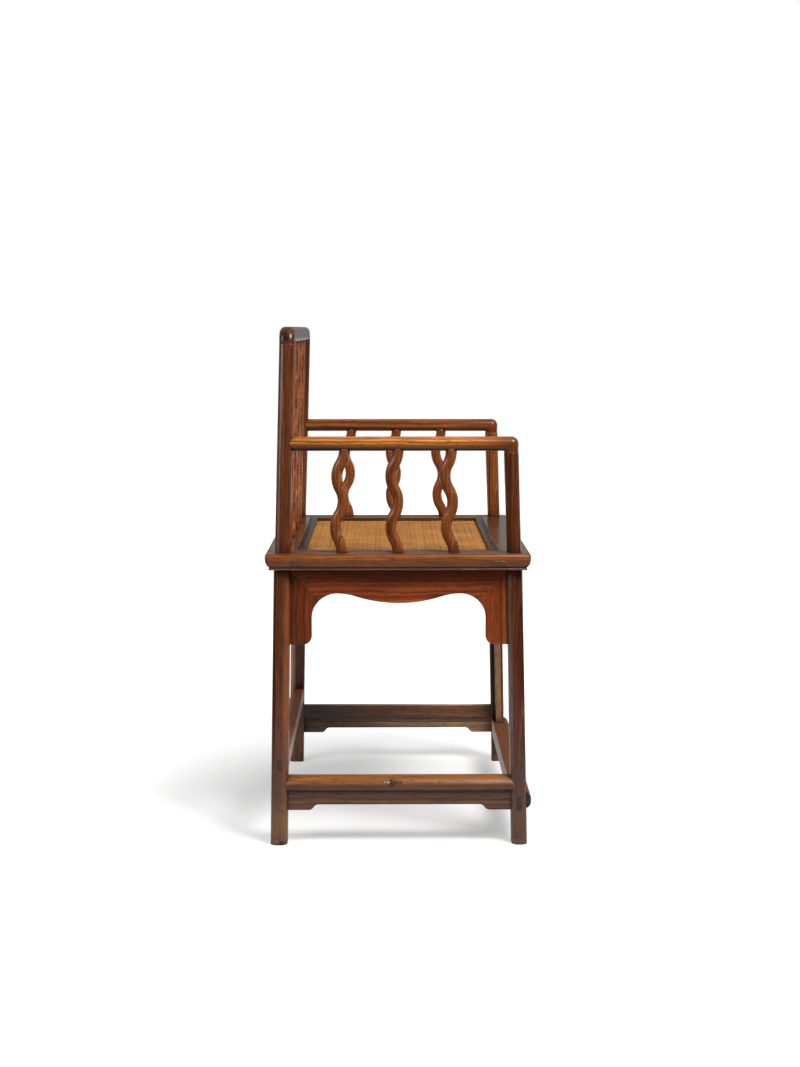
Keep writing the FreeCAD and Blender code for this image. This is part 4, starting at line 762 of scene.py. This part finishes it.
BACKDROP_MIRRORED = (0.03, 0.34)
CEILING_LIGHT = (0.05, 0.30)
BACKDROP_LIGHT = 0.35
studio = bpy.data.worlds.new("white_studio")
studio.use_nodes = True
studio.node_tree.nodes.clear()
path = add(studio, "ShaderNodeLightPath").outputs
toward = add(studio, "ShaderNodeTexCoord").outputs["Generated"]
toward = add(studio, "ShaderNodeSeparateXYZ", {0: toward}).outputs
mirrored = add(studio, "ShaderNodeMapRange",
               {"Value": toward["X"], "From Min": 0.0, "From Max": 0.7,
                "To Min": BACKDROP_MIRRORED[0], "To Max": BACKDROP_MIRRORED[1]}).outputs[0]
ambient = add(studio, "ShaderNodeMapRange",
              {"Value": toward["Z"], "From Min": 0.0, "From Max": 0.9,
               "To Min": CEILING_LIGHT[0], "To Max": CEILING_LIGHT[1]}).outputs[0]
behind = add(studio, "ShaderNodeMapRange",
             {"Value": toward["X"], "To Max": BACKDROP_LIGHT}).outputs[0]
ambient = add(studio, "ShaderNodeMath", {0: ambient, 1: behind}, operation="ADD").outputs[0]
lit = add(studio, "ShaderNodeMix", {0: path["Is Glossy Ray"], 2: ambient, 3: mirrored}).outputs[0]
plain = add(studio, "ShaderNodeMath", {0: path["Is Camera Ray"], 1: path["Is Transmission Ray"]},
            operation="MAXIMUM").outputs[0]
strength = add(studio, "ShaderNodeMix", {0: plain, 2: lit, 3: 1.0}).outputs[0]
sky = add(studio, "ShaderNodeBackground", {"Color": linear("ffffff"), "Strength": strength}).outputs[0]
add(studio, "ShaderNodeOutputWorld", {"Surface": sky})
bpy.context.scene.world = studio


def lamp(name, place, aim, size, watts):
    """A square soft lamp at a place, turned towards a point."""
    light = bpy.data.lights.new(name, "AREA")
    light.shape = "SQUARE"
    light.size = size
    light.energy = watts
    holder = bpy.data.objects.new(name, light)
    bpy.context.scene.collection.objects.link(holder)
    holder.location = place
    away = [there - here for here, there in zip(place, aim)]
    flat = math.hypot(away[0], away[1])
    holder.rotation_euler = (math.atan2(flat, -away[2]), 0, math.atan2(away[1], away[0]) - math.pi / 2)
    holder.visible_camera = False


lamp("overhead_softbox", place=(-1.37, -1.30, 2.7), aim=(0, 0, 0.4), size=1.1, watts=108)
lamp("back_softbox", place=(-1.3, 2.0, 1.7), aim=(0, 0, 0.45), size=1.2, watts=26)


# Camera: on a stand at the photograph's place, 2.8 m to the chair's right and 0.86 m up, looking a little
# down at the seat. Its lens is worked out from the photograph's focal length in pixels.

CAMERA_PLACE = (-2.8361, 0.01863, 0.8561)
CAMERA_DOWN = 7.347
CAMERA_TURN = -0.4326
PHOTO_HEIGHT = 1067
FOCAL_PIXELS = 1585.49
SENSOR = 36
eye = bpy.data.cameras.new("camera")
eye.sensor_width = SENSOR
eye.lens = SENSOR * FOCAL_PIXELS / PHOTO_HEIGHT
stand = bpy.data.objects.new("camera", eye)
stand.location = CAMERA_PLACE
stand.rotation_euler = (math.radians(90 - CAMERA_DOWN), 0, math.radians(CAMERA_TURN - 90))
bpy.context.scene.collection.objects.link(stand)
bpy.context.scene.camera = stand
bpy.context.scene.view_settings.view_transform = "Standard"
